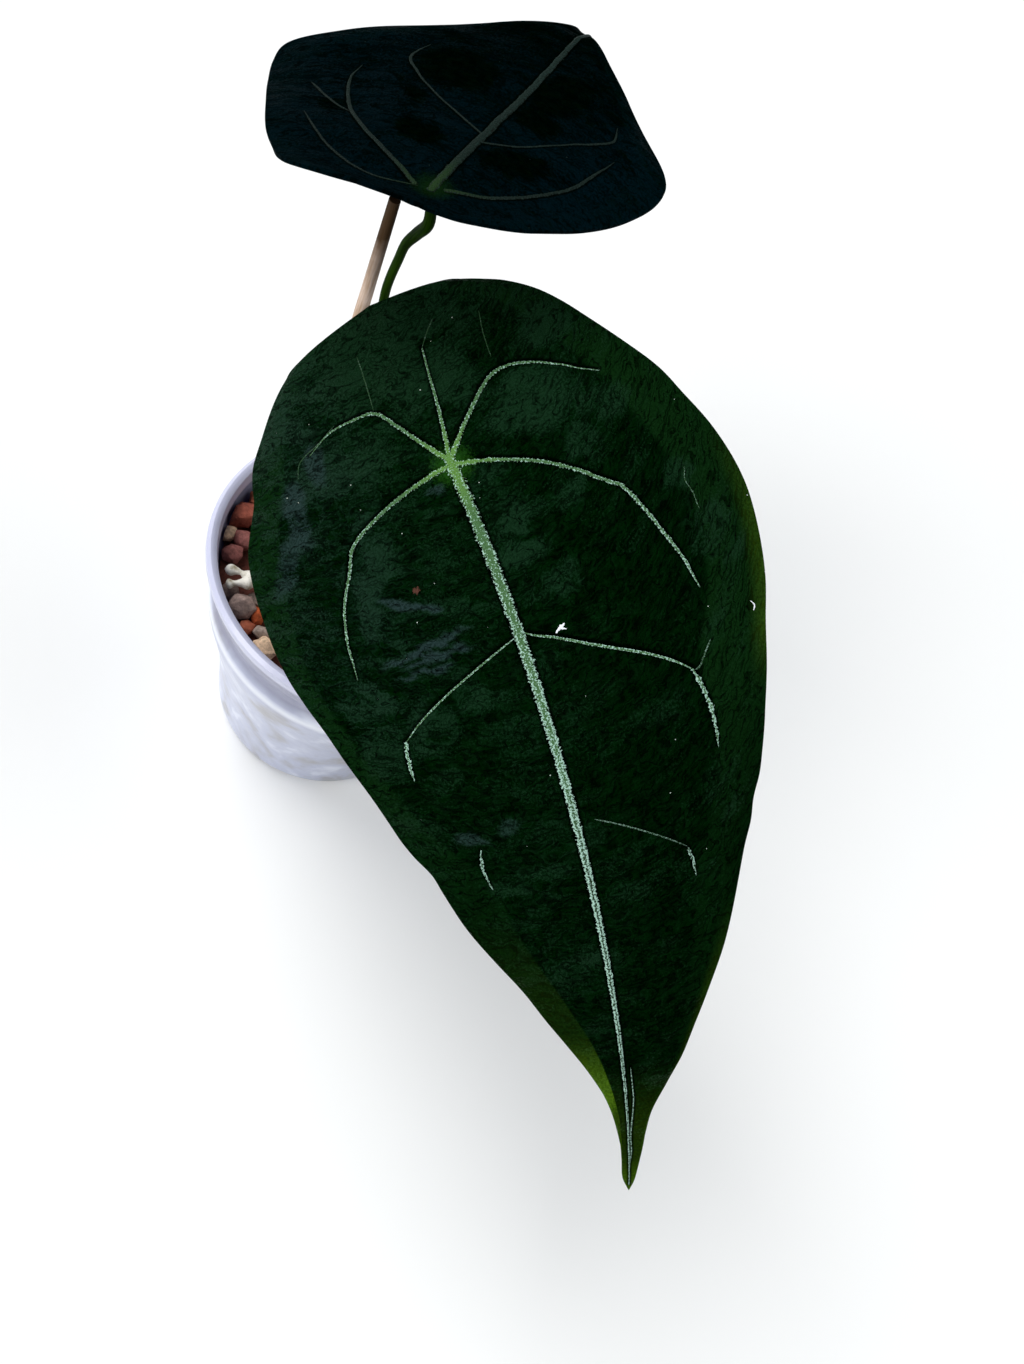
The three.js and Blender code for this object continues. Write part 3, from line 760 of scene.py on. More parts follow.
        shine = add_node(tree, "Math", {"operation": "MULTIPLY"}, {0: flat, 1: lying})
        set_node(tree, shader, {"Roughness": 0.4, "Specular Tint": self.sheen},
                 {"Base Color": colour, "Normal": bump, "Specular IOR Level": shine})


@dataclass(frozen=True)
class PapillateVein(Finish):
    """Vein skin: soft green ridge, frosted along its sides with pale papillae.

    Toward the blade's edge the grains cover the whole vein; a faint vein stays near the blade's
    own green, and round the hub the ridge is yellower.

    Attributes:
        frost: pale grains.
        body: the ridge between them.
        hub: the ridge near the stalk.
        faint: a vein that hardly stands off from the blade.
        gap: breaks along the sides and down the outer midrib.
        hub_mm: how far the yellower tone reaches.
        frost_mm: distances from the hub over which the frost thickens.
        split_mm: stations over which the midrib's dark middle line comes in.
        papilla_mm: size of a grain, drawn about three times the real one.
    """

    frost: str = "9fc2b2"
    body: str = "42663e"
    hub: str = "56803a"
    faint: str = "0c2a12"
    gap: str = "020a02"
    hub_mm: float = 14.0
    frost_mm: tuple[float, float] = (14.0, 80.0)
    split_mm: tuple[float, float] = (60.0, 84.0)
    papilla_mm: float = 0.4

    def dress(self, tree: Tree, shader: Node) -> None:
        """Green body, frosted grainy sides, a dark line down the outer midrib, faint far veins."""
        leaf = add_node(tree, "UVMap", {"uv_map": "leaf"})
        noise_map = add_node(tree, "TexNoise",
                             {"Scale": 1 / self.papilla_mm, "Detail": 1.0, "Roughness": 0.6},
                             {"Vector": leaf})
        grain = add_node(tree, "MapRange", {"span": (0.32, 0.66)}, {"Value": noise_map})
        away = add_node(tree, "VectorMath", {"operation": "LENGTH"}, {0: leaf})
        near = add_node(tree, "MapRange",
                        {"span": (self.hub_mm, 1.0), "interpolation_type": "SMOOTHSTEP"}, {"Value": away})
        top = add_node(tree, "Mix", {"data_type": "RGBA", 6: self.body, 7: self.hub}, {0: near})
        edge = add_node(tree, "Attribute", {"attribute_name": "edge"})
        outer = add_node(tree, "MapRange", {"span": self.frost_mm, "To Max": 0.5}, {"Value": away})
        sided = add_node(tree, "Math", {"operation": "MULTIPLY_ADD", 1: 0.55},
                         {0: edge.outputs["Fac"], 2: outer})
        grained = add_node(tree, "Math", {"operation": "ADD"}, {0: grain, 1: sided})
        frosted = add_node(tree, "MapRange", {"span": (0.95, 1.25)}, {"Value": grained})
        body = add_node(tree, "Mix", {"data_type": "RGBA", 7: self.frost}, {0: frosted, 6: top})
        rough = add_node(tree, "Math", {"operation": "MULTIPLY_ADD", 1: -0.75},
                         {0: grain, 2: edge.outputs["Fac"]})
        gaps = add_node(tree, "MapRange", {"span": (0.36, 0.54)}, {"Value": rough})
        place = add_node(tree, "SeparateXYZ", links={0: leaf})
        far_out = add_node(tree, "MapRange", {"span": self.split_mm}, {"Value": place})
        middle = add_node(tree, "Math", {"operation": "MULTIPLY_ADD", 1: 0.5},
                          {0: grain, 2: edge.outputs["Fac"]})
        central = add_node(tree, "MapRange", {"span": (0.62, 0.4), "To Max": 0.8}, {"Value": middle})
        lined = add_node(tree, "Math", {"operation": "MULTIPLY"}, {0: far_out, 1: central})
        broken = add_node(tree, "Math", {"operation": "MAXIMUM"}, {0: lined, 1: gaps})
        split = add_node(tree, "Mix", {"data_type": "RGBA", 7: self.gap}, {0: broken, 6: body})
        pale = add_node(tree, "Attribute", {"attribute_name": "pale"})
        colour = add_node(tree, "Mix", {"data_type": "RGBA", 6: self.faint},
                          {0: pale.outputs["Fac"], 7: split})
        bump = add_node(tree, "Bump", {"Strength": 0.8, "Distance": 0.0002}, {"Height": grain})
        set_node(tree, shader, {"Roughness": 0.6, "Specular IOR Level": 0.1},
                 {"Base Color": colour, "Normal": bump})


@dataclass(frozen=True)
class FleckAndHighlight(Finish):
    """White marks on the leaf: a painted highlight on the blade, and a pale curled mark."""

    white: str = "e6e8ee"

    def dress(self, tree: Tree, shader: Node) -> None:
        """One even chalky white."""
        set_node(tree, shader, {"Base Color": self.white, "Roughness": 0.7})


@dataclass(frozen=True)
class SeamlessPaper(Finish):
    """Pale matte studio paper under the plant."""

    paper: str = "f4f4f2"

    def dress(self, tree: Tree, shader: Node) -> None:
        """One even pale tone."""
        set_node(tree, shader, {"Base Color": self.paper, "Roughness": 0.9, "Specular IOR Level": 0.1})


@dataclass(frozen=True)
class Softbox:
    """A soft lamp far away.

    Attributes:
        azimuth: degrees round from +X toward +Y.
        elevation: degrees above the floor.
        strength: light on a surface square to it, in watts per square metre.
        width_degrees: how wide it looks from the plant.
        colour: its linear red, green and blue.
    """

    azimuth: float
    elevation: float
    strength: float
    width_degrees: float
    colour: tuple[float, float, float]


@dataclass
class Studio:
    """Camera, pale floor and soft light.

    Attributes:
        eye_mm: the camera's place.
        down_degrees: how far it looks down.
        roll_degrees: how far its top is turned to the left.
        focal_px: focal length in pixels of the photograph.
        floor_mm: side of the paper.
        sky: linear colour of the air round the plant.
        lamps: the soft lamps.
    """

    eye_mm: tuple[float, float, float] = (48.6, -150.9, 308.7)
    down_degrees: float = 56.7
    roll_degrees: float = 39.5
    focal_px: float = 1000.0
    floor_mm: float = 12000.0
    sky: tuple[float, float, float] = (0.10, 0.12, 0.15)
    lamps: tuple[Softbox, ...] = (
        Softbox(172, 52, 2.2, 40, (1.0, 1.0, 1.0)),
        Softbox(-118, 30, 2.0, 36, (1.0, 0.99, 0.97)),
        Softbox(35, 42, 0.9, 60, (0.98, 0.99, 1.0)),
    )

    def build(self) -> None:
        """Sets up the whole studio."""
        self.add_camera()
        self.add_floor()
        self.add_light()

    def add_camera(self) -> None:
        """The photograph's camera, looking down with its top turned to the left."""
        down = math.radians(self.down_degrees)
        roll = math.radians(self.roll_degrees)
        forward = Vector((0, math.cos(down), -math.sin(down)))
        level = Vector((1, 0, 0))
        rise = Vector((0, math.sin(down), math.cos(down)))
        right = math.cos(roll) * level + math.sin(roll) * rise
        up = math.cos(roll) * rise - math.sin(roll) * level
        data = bpy.data.cameras.new("camera")
        data.sensor_width = SENSOR_MM
        data.lens = self.focal_px / max(PHOTO_WIDTH, PHOTO_HEIGHT) * SENSOR_MM
        data.clip_start = 0.01
        data.clip_end = 100
        camera = bpy.data.objects.new("camera", data)
        bpy.context.scene.collection.objects.link(camera)
        turn = Matrix((right, up, -forward)).transposed().to_4x4()
        camera.matrix_world = Matrix.Translation(Vector(self.eye_mm) * MM) @ turn
        bpy.context.scene.camera = camera

    def add_floor(self) -> None:
        """A wide sheet of pale paper at the pot's foot."""
        deselect()
        bpy.ops.mesh.primitive_plane_add(size=self.floor_mm * MM)
        floor = bpy.context.object
        floor.name = "floor"
        floor.data.materials.append(SeamlessPaper("studio_paper").material())

    def add_light(self) -> None:
        """Soft lamps, a dim cool sky, and colours shown without a film curve."""
        for number, lamp in enumerate(self.lamps):
            data = bpy.data.lights.new(f"softbox_{number}", "SUN")
            data.energy = lamp.strength
            data.angle = math.radians(lamp.width_degrees)
            data.color = lamp.colour
            holder = bpy.data.objects.new(data.name, data)
            bpy.context.scene.collection.objects.link(holder)
            azimuth = math.radians(lamp.azimuth)
            elevation = math.radians(lamp.elevation)
            toward = Vector((math.cos(azimuth) * math.cos(elevation),
                             math.sin(azimuth) * math.cos(elevation), math.sin(elevation)))
            holder.rotation_euler = toward.to_track_quat("Z", "Y").to_euler()
        world = bpy.data.worlds.new("studio_air")
        bpy.context.scene.world = world
        world.use_nodes = True
        world.node_tree.nodes["Background"].inputs[0].default_value = (*self.sky, 1.0)
        world.node_tree.nodes["Background"].inputs[1].default_value = 1.0
        bpy.context.scene.view_settings.view_transform = "Standard"


POT_OUTSIDE: Pairs = (
    (31.6, 0), (33.2, 0.9), (33.9, 3.2), (34.3, 8), (35.4, 20), (37.6, 36), (40.1, 47.5),
    (41.7, 54.5), (42.3, 58.5), (42.4, 60.2), (41.8, 62.2), (41.2, 64.6), (41.8, 68.3), (42.9, 72),
    (43.2, 74.2), (43.9, 76.2), (44.8, 78.8), (45.0, 80.6), (44.6, 81.6), (43.9, 82),
)
POT_UPRIGHT: Pairs = tuple((height, radius) for radius, height in POT_OUTSIDE)
POT_HEIGHT = POT_OUTSIDE[-1][1]


@dataclass
class Pot:
    """The nursery pot: a thin turned wall with a wide rolled lip and drain holes.

    Attributes:
        wall: thickness of the wall.
        floor: thickness of the floor.
        corner: how far the floor's inner corner is drawn in.
        lip_inside: (radius, height) points down the inside of the lip.
        sides: faces round the pot.
        rows: points up its outside.
        drain_count: number of drain holes.
        drain_radius: radius of a hole.
        drain_ring: radius of the ring that the holes stand on.
    """

    wall: float = 1.2
    floor: float = 2.0
    corner: float = 1.2
    lip_inside: Pairs = ((43.2, 81.9), (42.2, 81.0), (41.6, 78.0))
    sides: int = 160
    rows: int = 90
    drain_count: int = 6
    drain_radius: float = 3.6
    drain_ring: float = 22.0

    def build(self) -> None:
        """Spins the wall, cuts the drain holes and dresses the pot."""
        pot = self.spun_wall()
        self.cut_drains(pot)
        self.map_wall(pot)
        soften(pot, 35)
        hand_over(pot, FrostedPolypropylene("frosted_polypropylene"), "pot")

    def profile(self) -> list[tuple[float, float]]:
        """The closed outline of one half of the pot, from the axis round to the axis."""
        heights = np.linspace(0, POT_HEIGHT, self.rows)
        radii = between(POT_UPRIGHT, heights)
        outside = list(zip(radii.tolist(), heights.tolist()))
        inner = [h for h in heights[::-1] if self.floor + 1 < h < self.lip_inside[-1][1] - 1]
        inside = [(float(between(POT_UPRIGHT, np.array([h]))[0]) - self.wall, float(h)) for h in inner]
        foot = inside[-1][0] - self.corner
        return [(0, 0), *outside, *self.lip_inside, *inside, (foot, self.floor), (0, self.floor)]

    def spun_wall(self) -> Piece:
        """Draws the outline and spins it about the upright axis."""
        outline = self.profile()
        data = bpy.data.meshes.new("pot_body")
        points = [(radius * MM, 0, height * MM) for radius, height in outline]
        data.from_pydata(points, [(i, i + 1) for i in range(len(points) - 1)], [])
        pot = bpy.data.objects.new("pot_body", data)
        bpy.context.scene.collection.objects.link(pot)
        choose(pot)
        bpy.ops.object.mode_set(mode="EDIT")
        bpy.ops.mesh.select_all(action="SELECT")
        bpy.ops.mesh.spin(steps=self.sides, angle=2 * math.pi, center=(0, 0, 0), axis=(0, 0, 1))
        bpy.ops.object.mode_set(mode="OBJECT")
        close_seams(pot, 0.01)
        return pot

    def cut_drains(self, pot: Piece) -> None:
        """Cuts the ring of drain holes through the floor."""
        drills = []
        for number in range(self.drain_count):
            angle = (number + 0.5) * 2 * math.pi / self.drain_count
            deselect()
            bpy.ops.mesh.primitive_cylinder_add(
                vertices=32, radius=self.drain_radius * MM, depth=(self.floor + 6) * MM,
                location=(self.drain_ring * math.cos(angle) * MM,
                          self.drain_ring * math.sin(angle) * MM, self.floor / 2 * MM))
            drills.append(bpy.context.object)
        drill = join("drill", drills)
        apply_modifier(pot, "BOOLEAN", {"operation": "DIFFERENCE", "object": drill, "solver": "EXACT"})
        bpy.data.objects.remove(drill)
        drop_maps(pot)

    def map_wall(self, pot: Piece) -> None:
        """Gives the wall a UV map of millimetres round and up."""
        layer = pot.data.uv_layers.new(name="wall")
        reach = POT_OUTSIDE[-1][0]
        for face in pot.data.polygons:
            middle = math.atan2(face.center.y, face.center.x)
            for corner in face.loop_indices:
                point = pot.data.vertices[pot.data.loops[corner].vertex_index].co
                turn = math.atan2(point.y, point.x) - middle
                turn = (turn + math.pi) % (2 * math.pi) - math.pi
                layer.data[corner].uv = ((middle + turn) * reach, point.z / MM)


@dataclass
class PottingMix:
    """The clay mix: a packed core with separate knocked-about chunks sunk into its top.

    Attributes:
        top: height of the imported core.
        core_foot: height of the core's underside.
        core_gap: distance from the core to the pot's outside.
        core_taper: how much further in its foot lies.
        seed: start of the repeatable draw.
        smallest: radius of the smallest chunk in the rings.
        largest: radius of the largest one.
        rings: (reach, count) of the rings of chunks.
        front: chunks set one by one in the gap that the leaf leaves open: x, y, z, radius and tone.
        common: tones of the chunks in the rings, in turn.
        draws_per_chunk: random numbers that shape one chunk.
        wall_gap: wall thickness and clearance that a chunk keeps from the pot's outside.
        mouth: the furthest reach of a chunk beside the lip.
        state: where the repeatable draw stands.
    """

    top: float = 69.5
    core_foot: float = 2.4
    core_gap: float = 1.6
    core_taper: float = 2.0
    seed: int = 41
    smallest: float = 3.9
    largest: float = 5.4
    rings: tuple[tuple[float, int], ...] = ((38.0, 23), (30.6, 18), (23.4, 14), (16.4, 10), (10.2, 6))
    front: tuple[tuple[float, float, float, float, Clay], ...] = (
        (-37.0, -2.6, 72.6, 4.2, Clay.RUST),
        (-37.6, -10, 73.2, 5.0, Clay.RED_BROWN),
        (-36.4, -16.8, 72.2, 2.6, Clay.PEACH),
        (-31.5, -20.6, 72, 3.2, Clay.MAUVE),
        (-31.6, -15.4, 72.4, 3.5, Clay.MAUVE),
        (-24.3, -29.8, 71.2, 2.7, Clay.GREY_BROWN),
        (-18.7, -31.3, 72.6, 3.9, Clay.GREY_BROWN),
        (-18.2, -27, 71.5, 2.4, Clay.DUN),
        (-14.4, -30.2, 71.6, 2.7, Clay.ORANGE),
        (-14.3, -34.5, 71.3, 2.4, Clay.RUST),
        (-10.4, -33.3, 71.6, 2.4, Clay.DUN),
        (-6.6, -36.2, 72.6, 3.8, Clay.PEACH),
    )
    common: tuple[Clay, ...] = (Clay.RED_BROWN, Clay.MAUVE, Clay.RUST, Clay.GREY_BROWN,
                                Clay.RED_BROWN, Clay.MAUVE, Clay.TAN)
    draws_per_chunk: int = 16
    wall_gap: float = 1.5
    mouth: float = 41.0
    state: int = field(default=0, init=False)

    def random(self) -> float:
        """The next number of the repeatable draw."""
        self.state = (self.state * 1664525 + 1013904223) % 4294967296
        return self.state / 4294967296

    def draws(self) -> list[float]:
        """The numbers that knock one chunk about."""
        return [self.random() for _ in range(self.draws_per_chunk)]

    def taken(self, x: float, y: float) -> bool:
        """Whether one of the listed chunks already fills this place."""
        return any(math.hypot(x - cx, y - cy) < radius + 2.6 for cx, cy, _, radius, _ in self.front)

    def build(self) -> None:
        """Fills the pot and dresses the mix."""
        self.state = self.seed
        chunks = [self.core()]
        for ring, count in self.rings:
            start = self.random() * 2 * math.pi
            for place in range(count):
                angle = start + (place + 0.35 * (self.random() - 0.5)) * 2 * math.pi / count
                reach = ring + 1.6 * (self.random() - 0.5)
                radius = self.smallest + (self.largest - self.smallest) * self.random()
                height = self.top + 0.6 + 3.2 * self.random()
                at = (reach * math.cos(angle), reach * math.sin(angle), height)
                tone = self.common[(place * 5 + count) % len(self.common)]
                draws = self.draws()
                if not self.taken(at[0], at[1]):
                    chunks.append(self.chunk(radius, at, tone, draws))
        for x, y, z, radius, tone in self.front:
            chunks.append(self.chunk(radius, (x, y, z), tone, self.draws()))
        mix = join("clay_mix", chunks)
        drop_maps(mix)
        hand_over(mix, BakedClay("baked_clay"), "potting_mix")

    def core(self) -> Piece:
        """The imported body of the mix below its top."""
        deselect()
        bpy.ops.mesh.primitive_cylinder_add(vertices=96, radius=1, depth=1)
        core = bpy.context.object
        points = points_of(core) * MM
        high = points[:, 2] > 0
        height = np.where(high, self.top, self.core_foot)
        radius = between(POT_UPRIGHT, height) - self.core_gap
        radius = np.where(high, radius, radius - self.core_taper)
        set_points(core, np.stack([points[:, 0] * radius, points[:, 1] * radius, height], -1))
        self.paint(core, Clay.RED_BROWN, 0.35)
        return core

    def chunk(self, radius: float, at: tuple[float, float, float], tone: Clay,
              draws: list[float]) -> Piece:
        """One angular chunk with worn edges and a pitted skin.

        Args:
            radius: the lump's radius before it is knocked about, in millimetres.
            at: its middle.
            tone: its colour.
            draws: random numbers between 0 and 1: twelve corners, two stretches, two turns.

        Returns:
            The chunk's object.
        """
        deselect()
        bpy.ops.mesh.primitive_ico_sphere_add(subdivisions=1, radius=radius * MM)
        lump = bpy.context.object
        points = points_of(lump)
        points *= np.array([0.82 + 0.34 * draw for draw in draws[:12]])[:, None]
        points[:, 1] *= 0.78 + 0.3 * draws[12]
        points[:, 2] *= 0.7 + 0.25 * draws[13]
        tilt = Matrix.Rotation((draws[14] - 0.5) * 0.9, 3, "X")
        turn = Matrix.Rotation(draws[15] * 2 * math.pi, 3, "Z")
        points = points @ np.array(turn @ tilt).T
        set_points(lump, points)
        apply_modifier(lump, "BEVEL", {"width": 0.08 * radius * MM, "segments": 2, "affect": "EDGES",
                                       "limit_method": "NONE"})
        apply_modifier(lump, "SUBSURF", {"levels": 1, "render_levels": 1,
                                         "subdivision_type": "SIMPLE"})
        points = points_of(lump)
        pits = ripple(points[:, 0] * 0.7 + at[0], points[:, 1] * 0.7 + points[:, 2] * 0.6 + at[1])
        small = ripple(points[:, 0] * 2.1 + at[0], points[:, 1] * 2.1 + points[:, 2] * 1.7 + at[1])
        points = points * (1.03 + 0.1 * pits + 0.05 * small)[:, None]
        points = points + np.array(at)
        reach = np.hypot(points[:, 0], points[:, 1])
        wall = between(POT_UPRIGHT, np.clip(points[:, 2], 0, POT_HEIGHT))
        room = np.minimum(wall - self.wall_gap, self.mouth)
        points[:, :2] *= np.minimum(1, room / np.maximum(reach, 1))[:, None]
        set_points(lump, points)
        soften(lump, 38)
        self.paint(lump, tone, 0.85 + 0.3 * (math.sin(at[0] * 7 + at[1] * 3) + 1) / 2)
        return lump

    def paint(self, piece: Piece, tone: Clay, strength: float) -> None:
        """Writes a chunk's colour on its points."""
        layer = piece.data.color_attributes.new("tone", "FLOAT_COLOR", "POINT")
        shade = np.array(linear(tone.value)) * strength
        shade[3] = 1
        layer.data.foreach_set("color", np.tile(shade, len(piece.data.vertices)))


@dataclass
class Stem:
    """The short crown with its thick pale roots.

    Attributes:
        crown: (radius, height) points up the crown, ringed by old leaf scars.
        root_radius: a root's radius at the crown.
        knob_pitch: distance from knob to knob.
        knob_height: how far a knob stands out.
        end_mm: length of a root's rounded end.
        roots: the ways of the roots; the second forks off from the first.
    """

    crown: Pairs = ((2.6, 48), (4.6, 60), (5.2, 70), (5.8, 73), (5.4, 74.5), (6.0, 77), (5.5, 78.6),
                    (5.7, 81), (4.6, 83))
    root_radius: float = 1.75
    knob_pitch: float = 5.2
    knob_height: float = 0.42
    end_mm: float = 1.2
    roots: tuple[Route, ...] = (
        ((-3, -1, 74), (-8, -9, 77), (-14, -19, 77), (-19, -24.2, 76.8), (-22.5, -25.3, 76.2),
         (-25.8, -26, 75.8), (-28.6, -27.5, 75.2)),
        ((-17, -22.6, 76.6), (-20.6, -26, 76.2), (-23.2, -28.6, 75.8), (-25.3, -30.9, 75.4)),
        ((-2, 3, 73), (-9, 12, 76.8), (-17, 20, 76.6), (-24, 24, 73), (-27, 26, 68)),
        ((3, -3, 73), (9, -12, 76.6), (13, -22, 75.6), (16, -29, 70)),
    )

    def build(self) -> None:
        """Turns the crown, sweeps the roots and joins them."""
        upright = tuple((height, radius) for radius, height in self.crown)
        low = self.crown[0][1]
        high = self.crown[-1][1]

        def crown_radius(share: Array, run: Array) -> Array:
            """The crown's radius at a share of its height."""
            return between(upright, low + share * (high - low))

        way = ((0, 0, low), (0, 0, (low + high) / 2), (0, 0, high))
        parts = [bar("crown", way, 48, 70, crown_radius)]
        for route in self.roots:
            parts.append(bar("root", route, 28, 90, self.root_profile))
        stem = join("stem_and_roots", parts)
        soften(stem, 50)
        hand_over(stem, CorkyRoot("corky_root_skin"), "stem")

    def root_profile(self, share: Array, run: Array) -> Array:
        """A root's radius: a slow taper with knobs and a rounded end."""
        taper = 1 - 0.4 * share
        knob = self.knob_height * np.sin(run * 2 * math.pi / self.knob_pitch)
        rough = 0.22 * ripple(run / 1.4, np.zeros_like(run) + self.root_radius)
        left = np.clip((run.max() - run) / self.end_mm, 0, 1)
        return (self.root_radius * taper + knob + rough) * np.sqrt(np.maximum(1 - (1 - left) ** 2, 0.01))


@dataclass
class Stake:
    """The thin upright stick behind the leaves.

    Attributes:
        centre: where it stands.
        bottom: height of its foot in the mix.
        taper_from: height at which it starts to grow thinner.
        top: height of its end.
        radius: its radius up to the taper.
        top_radius: its radius at the end.
    """

    centre: tuple[float, float] = (-26.0, -1.0)
    bottom: float = 14.0
    taper_from: float = 145.0
    top: float = 182.4
    radius: float = 1.5
    top_radius: float = 1.15

    def build(self) -> None:
        """Sweeps the stick and dresses it."""
        x, y = self.centre
        route = ((x, y, self.bottom), (x, y, (self.bottom + self.top) / 2), (x, y, self.top))
        stick = bar("wooden_stick", route, 28, 120, self.profile)
        soften(stick, 50)
        hand_over(stick, StickWood("stick_wood"), "support_stake")

    def profile(self, share: Array, run: Array) -> Array:
        """The stick's radius, thinner past the taper."""
        height = self.bottom + run
        thin = np.clip((height - self.taper_from) / (self.top - self.taper_from), 0, 1)
        return self.radius + (self.top_radius - self.radius) * thin


@dataclass(frozen=True)
class Vein:
    """A vein on the upper face: its way in blade coordinates and its widths.

    Attributes:
        route: (station, offset) points in millimetres.
        widths: (share of the way, width in millimetres) pairs.
        rise: how far its middle stands out.
        ragged: how broken its edges are, from 0 to 1.
        pale: how far it stands off from the blade's own green, from 0 to 1.
    """

    route: Route
    widths: Pairs
    rise: float = 0.22
    ragged: float = 0.35
    pale: float = 1.0


@dataclass(frozen=True)
class SheenPatch:
    """A patch of skin with more painted sheen, or less.

    Attributes:
        station: its middle, along the midrib.
        offset: its middle, across.
        reach: half of its long axis, as (along, across).
        half_width: half of its short axis.
        strength: how much painted sheen it adds, minus for bare dark skin.
        cool: how far its painted sheen turns to painted blue reflection, from 0 to 1.
    """

    station: float
    offset: float
    reach: tuple[float, float]
    half_width: float
    strength: float = 0.55
    cool: float = 0.0


@dataclass
class Blade:
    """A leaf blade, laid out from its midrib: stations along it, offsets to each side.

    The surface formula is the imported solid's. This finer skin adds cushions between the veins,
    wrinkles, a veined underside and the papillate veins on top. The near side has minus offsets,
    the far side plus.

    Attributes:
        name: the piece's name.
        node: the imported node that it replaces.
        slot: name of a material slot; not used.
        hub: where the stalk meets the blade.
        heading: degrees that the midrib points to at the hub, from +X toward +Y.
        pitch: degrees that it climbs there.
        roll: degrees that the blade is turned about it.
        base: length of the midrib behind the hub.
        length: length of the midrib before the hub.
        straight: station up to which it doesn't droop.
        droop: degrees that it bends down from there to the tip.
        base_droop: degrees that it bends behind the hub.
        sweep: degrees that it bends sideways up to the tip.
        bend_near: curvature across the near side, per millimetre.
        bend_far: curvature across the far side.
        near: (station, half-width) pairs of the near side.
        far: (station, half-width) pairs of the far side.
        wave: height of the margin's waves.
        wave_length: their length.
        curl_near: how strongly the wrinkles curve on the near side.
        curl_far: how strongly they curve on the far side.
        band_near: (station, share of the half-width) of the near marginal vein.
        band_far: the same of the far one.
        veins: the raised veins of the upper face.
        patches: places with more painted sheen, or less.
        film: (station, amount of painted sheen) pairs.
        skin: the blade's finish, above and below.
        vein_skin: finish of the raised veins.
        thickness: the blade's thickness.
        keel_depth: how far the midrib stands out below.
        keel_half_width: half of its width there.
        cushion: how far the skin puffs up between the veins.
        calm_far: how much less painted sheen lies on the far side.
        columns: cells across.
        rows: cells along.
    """

    name: str
    node: str
    slot: str
    hub: tuple[float, float, float]
    heading: float
    pitch: float
    roll: float
    base: float
    length: float
    straight: float
    droop: float
    base_droop: float
    sweep: float
    bend_near: float
    bend_far: float
    near: Pairs
    far: Pairs
    wave: float
    wave_length: float
    curl_near: float
    curl_far: float
    band_near: Pairs
    band_far: Pairs
    veins: tuple[Vein, ...]
    patches: tuple[SheenPatch, ...]
    film: Pairs
    skin: VelvetBlade
    vein_skin: PapillateVein
    thickness: float = 0.7
    keel_depth: float = 1.5
    keel_half_width: float = 2.2
    cushion: float = 0.45
    calm_far: float = 0.0
    columns: int = 144
    rows: int = 330

    def __post_init__(self) -> None:
        """Walks the midrib once, from the stalk both ways, about a millimetre a stride."""
        heading, pitch, roll = (math.radians(a) for a in (self.heading, self.pitch, self.roll))
        along = Vector((math.cos(heading) * math.cos(pitch), math.sin(heading) * math.cos(pitch),
                        math.sin(pitch)))
        level = Vector((-math.sin(heading), math.cos(heading), 0))
        lift = along.cross(level)
        side = level * math.cos(roll) + lift * math.sin(roll)
        up = along.cross(side)
        ahead = self.walk(along, side, up, self.length)
        behind = self.walk(along, side, up, -self.base)
        table = np.array(behind[::-1] + ahead[1:])
        self.stations = table[:, 0]
        self.frames = table[:, 1:]

    def walk(self, along: Vector, side: Vector, up: Vector, distance: float) -> list[list[float]]:
        """Follows the midrib one way.

        Args:
            along: direction of the midrib at the stalk.
            side: direction of rising offsets there.
            up: the upper face's normal there.
            distance: how far to go, minus toward the base edge.

        Returns:
            One row for each stride: station, centre, side and up.
        """
        steps = math.ceil(abs(distance))
        stride = distance / steps
        centre = Vector(self.hub)
        rows = [[0.0, *centre, *side, *up]]
        for step in range(steps):
            at = (step + 0.5) * stride
            droop = self.droop / (self.length - self.straight) if at > self.straight else 0.0
            if at < 0:
                droop = self.base_droop / self.base
            down = math.radians(droop) * stride
            across = math.radians(self.sweep) * stride / self.length
            centre = centre + Matrix.Rotation(down / 2, 3, side) @ along * stride
            tilt = Matrix.Rotation(down, 3, side)
            along, up = tilt @ along, tilt @ up
            swing = Matrix.Rotation(across, 3, up)
            along, side = swing @ along, swing @ side
            rows.append([(step + 1) * stride, *centre, *side, *up])
        return rows

    def half_width(self, station: Array, far: Array) -> Array:
        """Half-width at each station on the far side, or on the near one."""
        return np.where(far, between(self.far, station), between(self.near, station))

    def share_out(self, station: Array, offset: Array) -> Array:
        """How far out each point lies, as a share of the half-width there."""
        return np.abs(offset) / np.maximum(self.half_width(station, offset > 0), 0.01)

    def surface(self, station: Array, offset: Array, lift: Array) -> Array:
        """Places on the blade in millimetres.

        Args:
            station: way along the midrib.
            offset: way across, minus on the near side.
            lift: height above the plain surface.

        Returns:
            One row of x, y and z for each point.
        """
        read = [np.interp(station, self.stations, self.frames[:, c]) for c in range(9)]
        centre = np.stack(read[0:3], -1)
        side = np.stack(read[3:6], -1)
        up = np.stack(read[6:9], -1)
        far = offset > 0
        bend = np.where(far, self.bend_far, self.bend_near)
        share = self.share_out(station, offset)
        fade = np.minimum(1, np.minimum((station + self.base) / 20, (self.length - station) / 40))
        phase = np.where(far, 0.4, 2.1)
        swell = np.sin(station * 2 * math.pi / self.wave_length + phase)
        wave = self.wave * fade * np.minimum(share, 1.1) ** 3 * swell
        turn = bend * offset
        flat = centre + side * (np.sin(turn) / bend)[:, None]
        flat = flat + up * (wave - (1 - np.cos(turn)) / bend)[:, None]
        normal = up * np.cos(turn)[:, None] + side * np.sin(turn)[:, None]
        return flat + normal * lift[:, None]

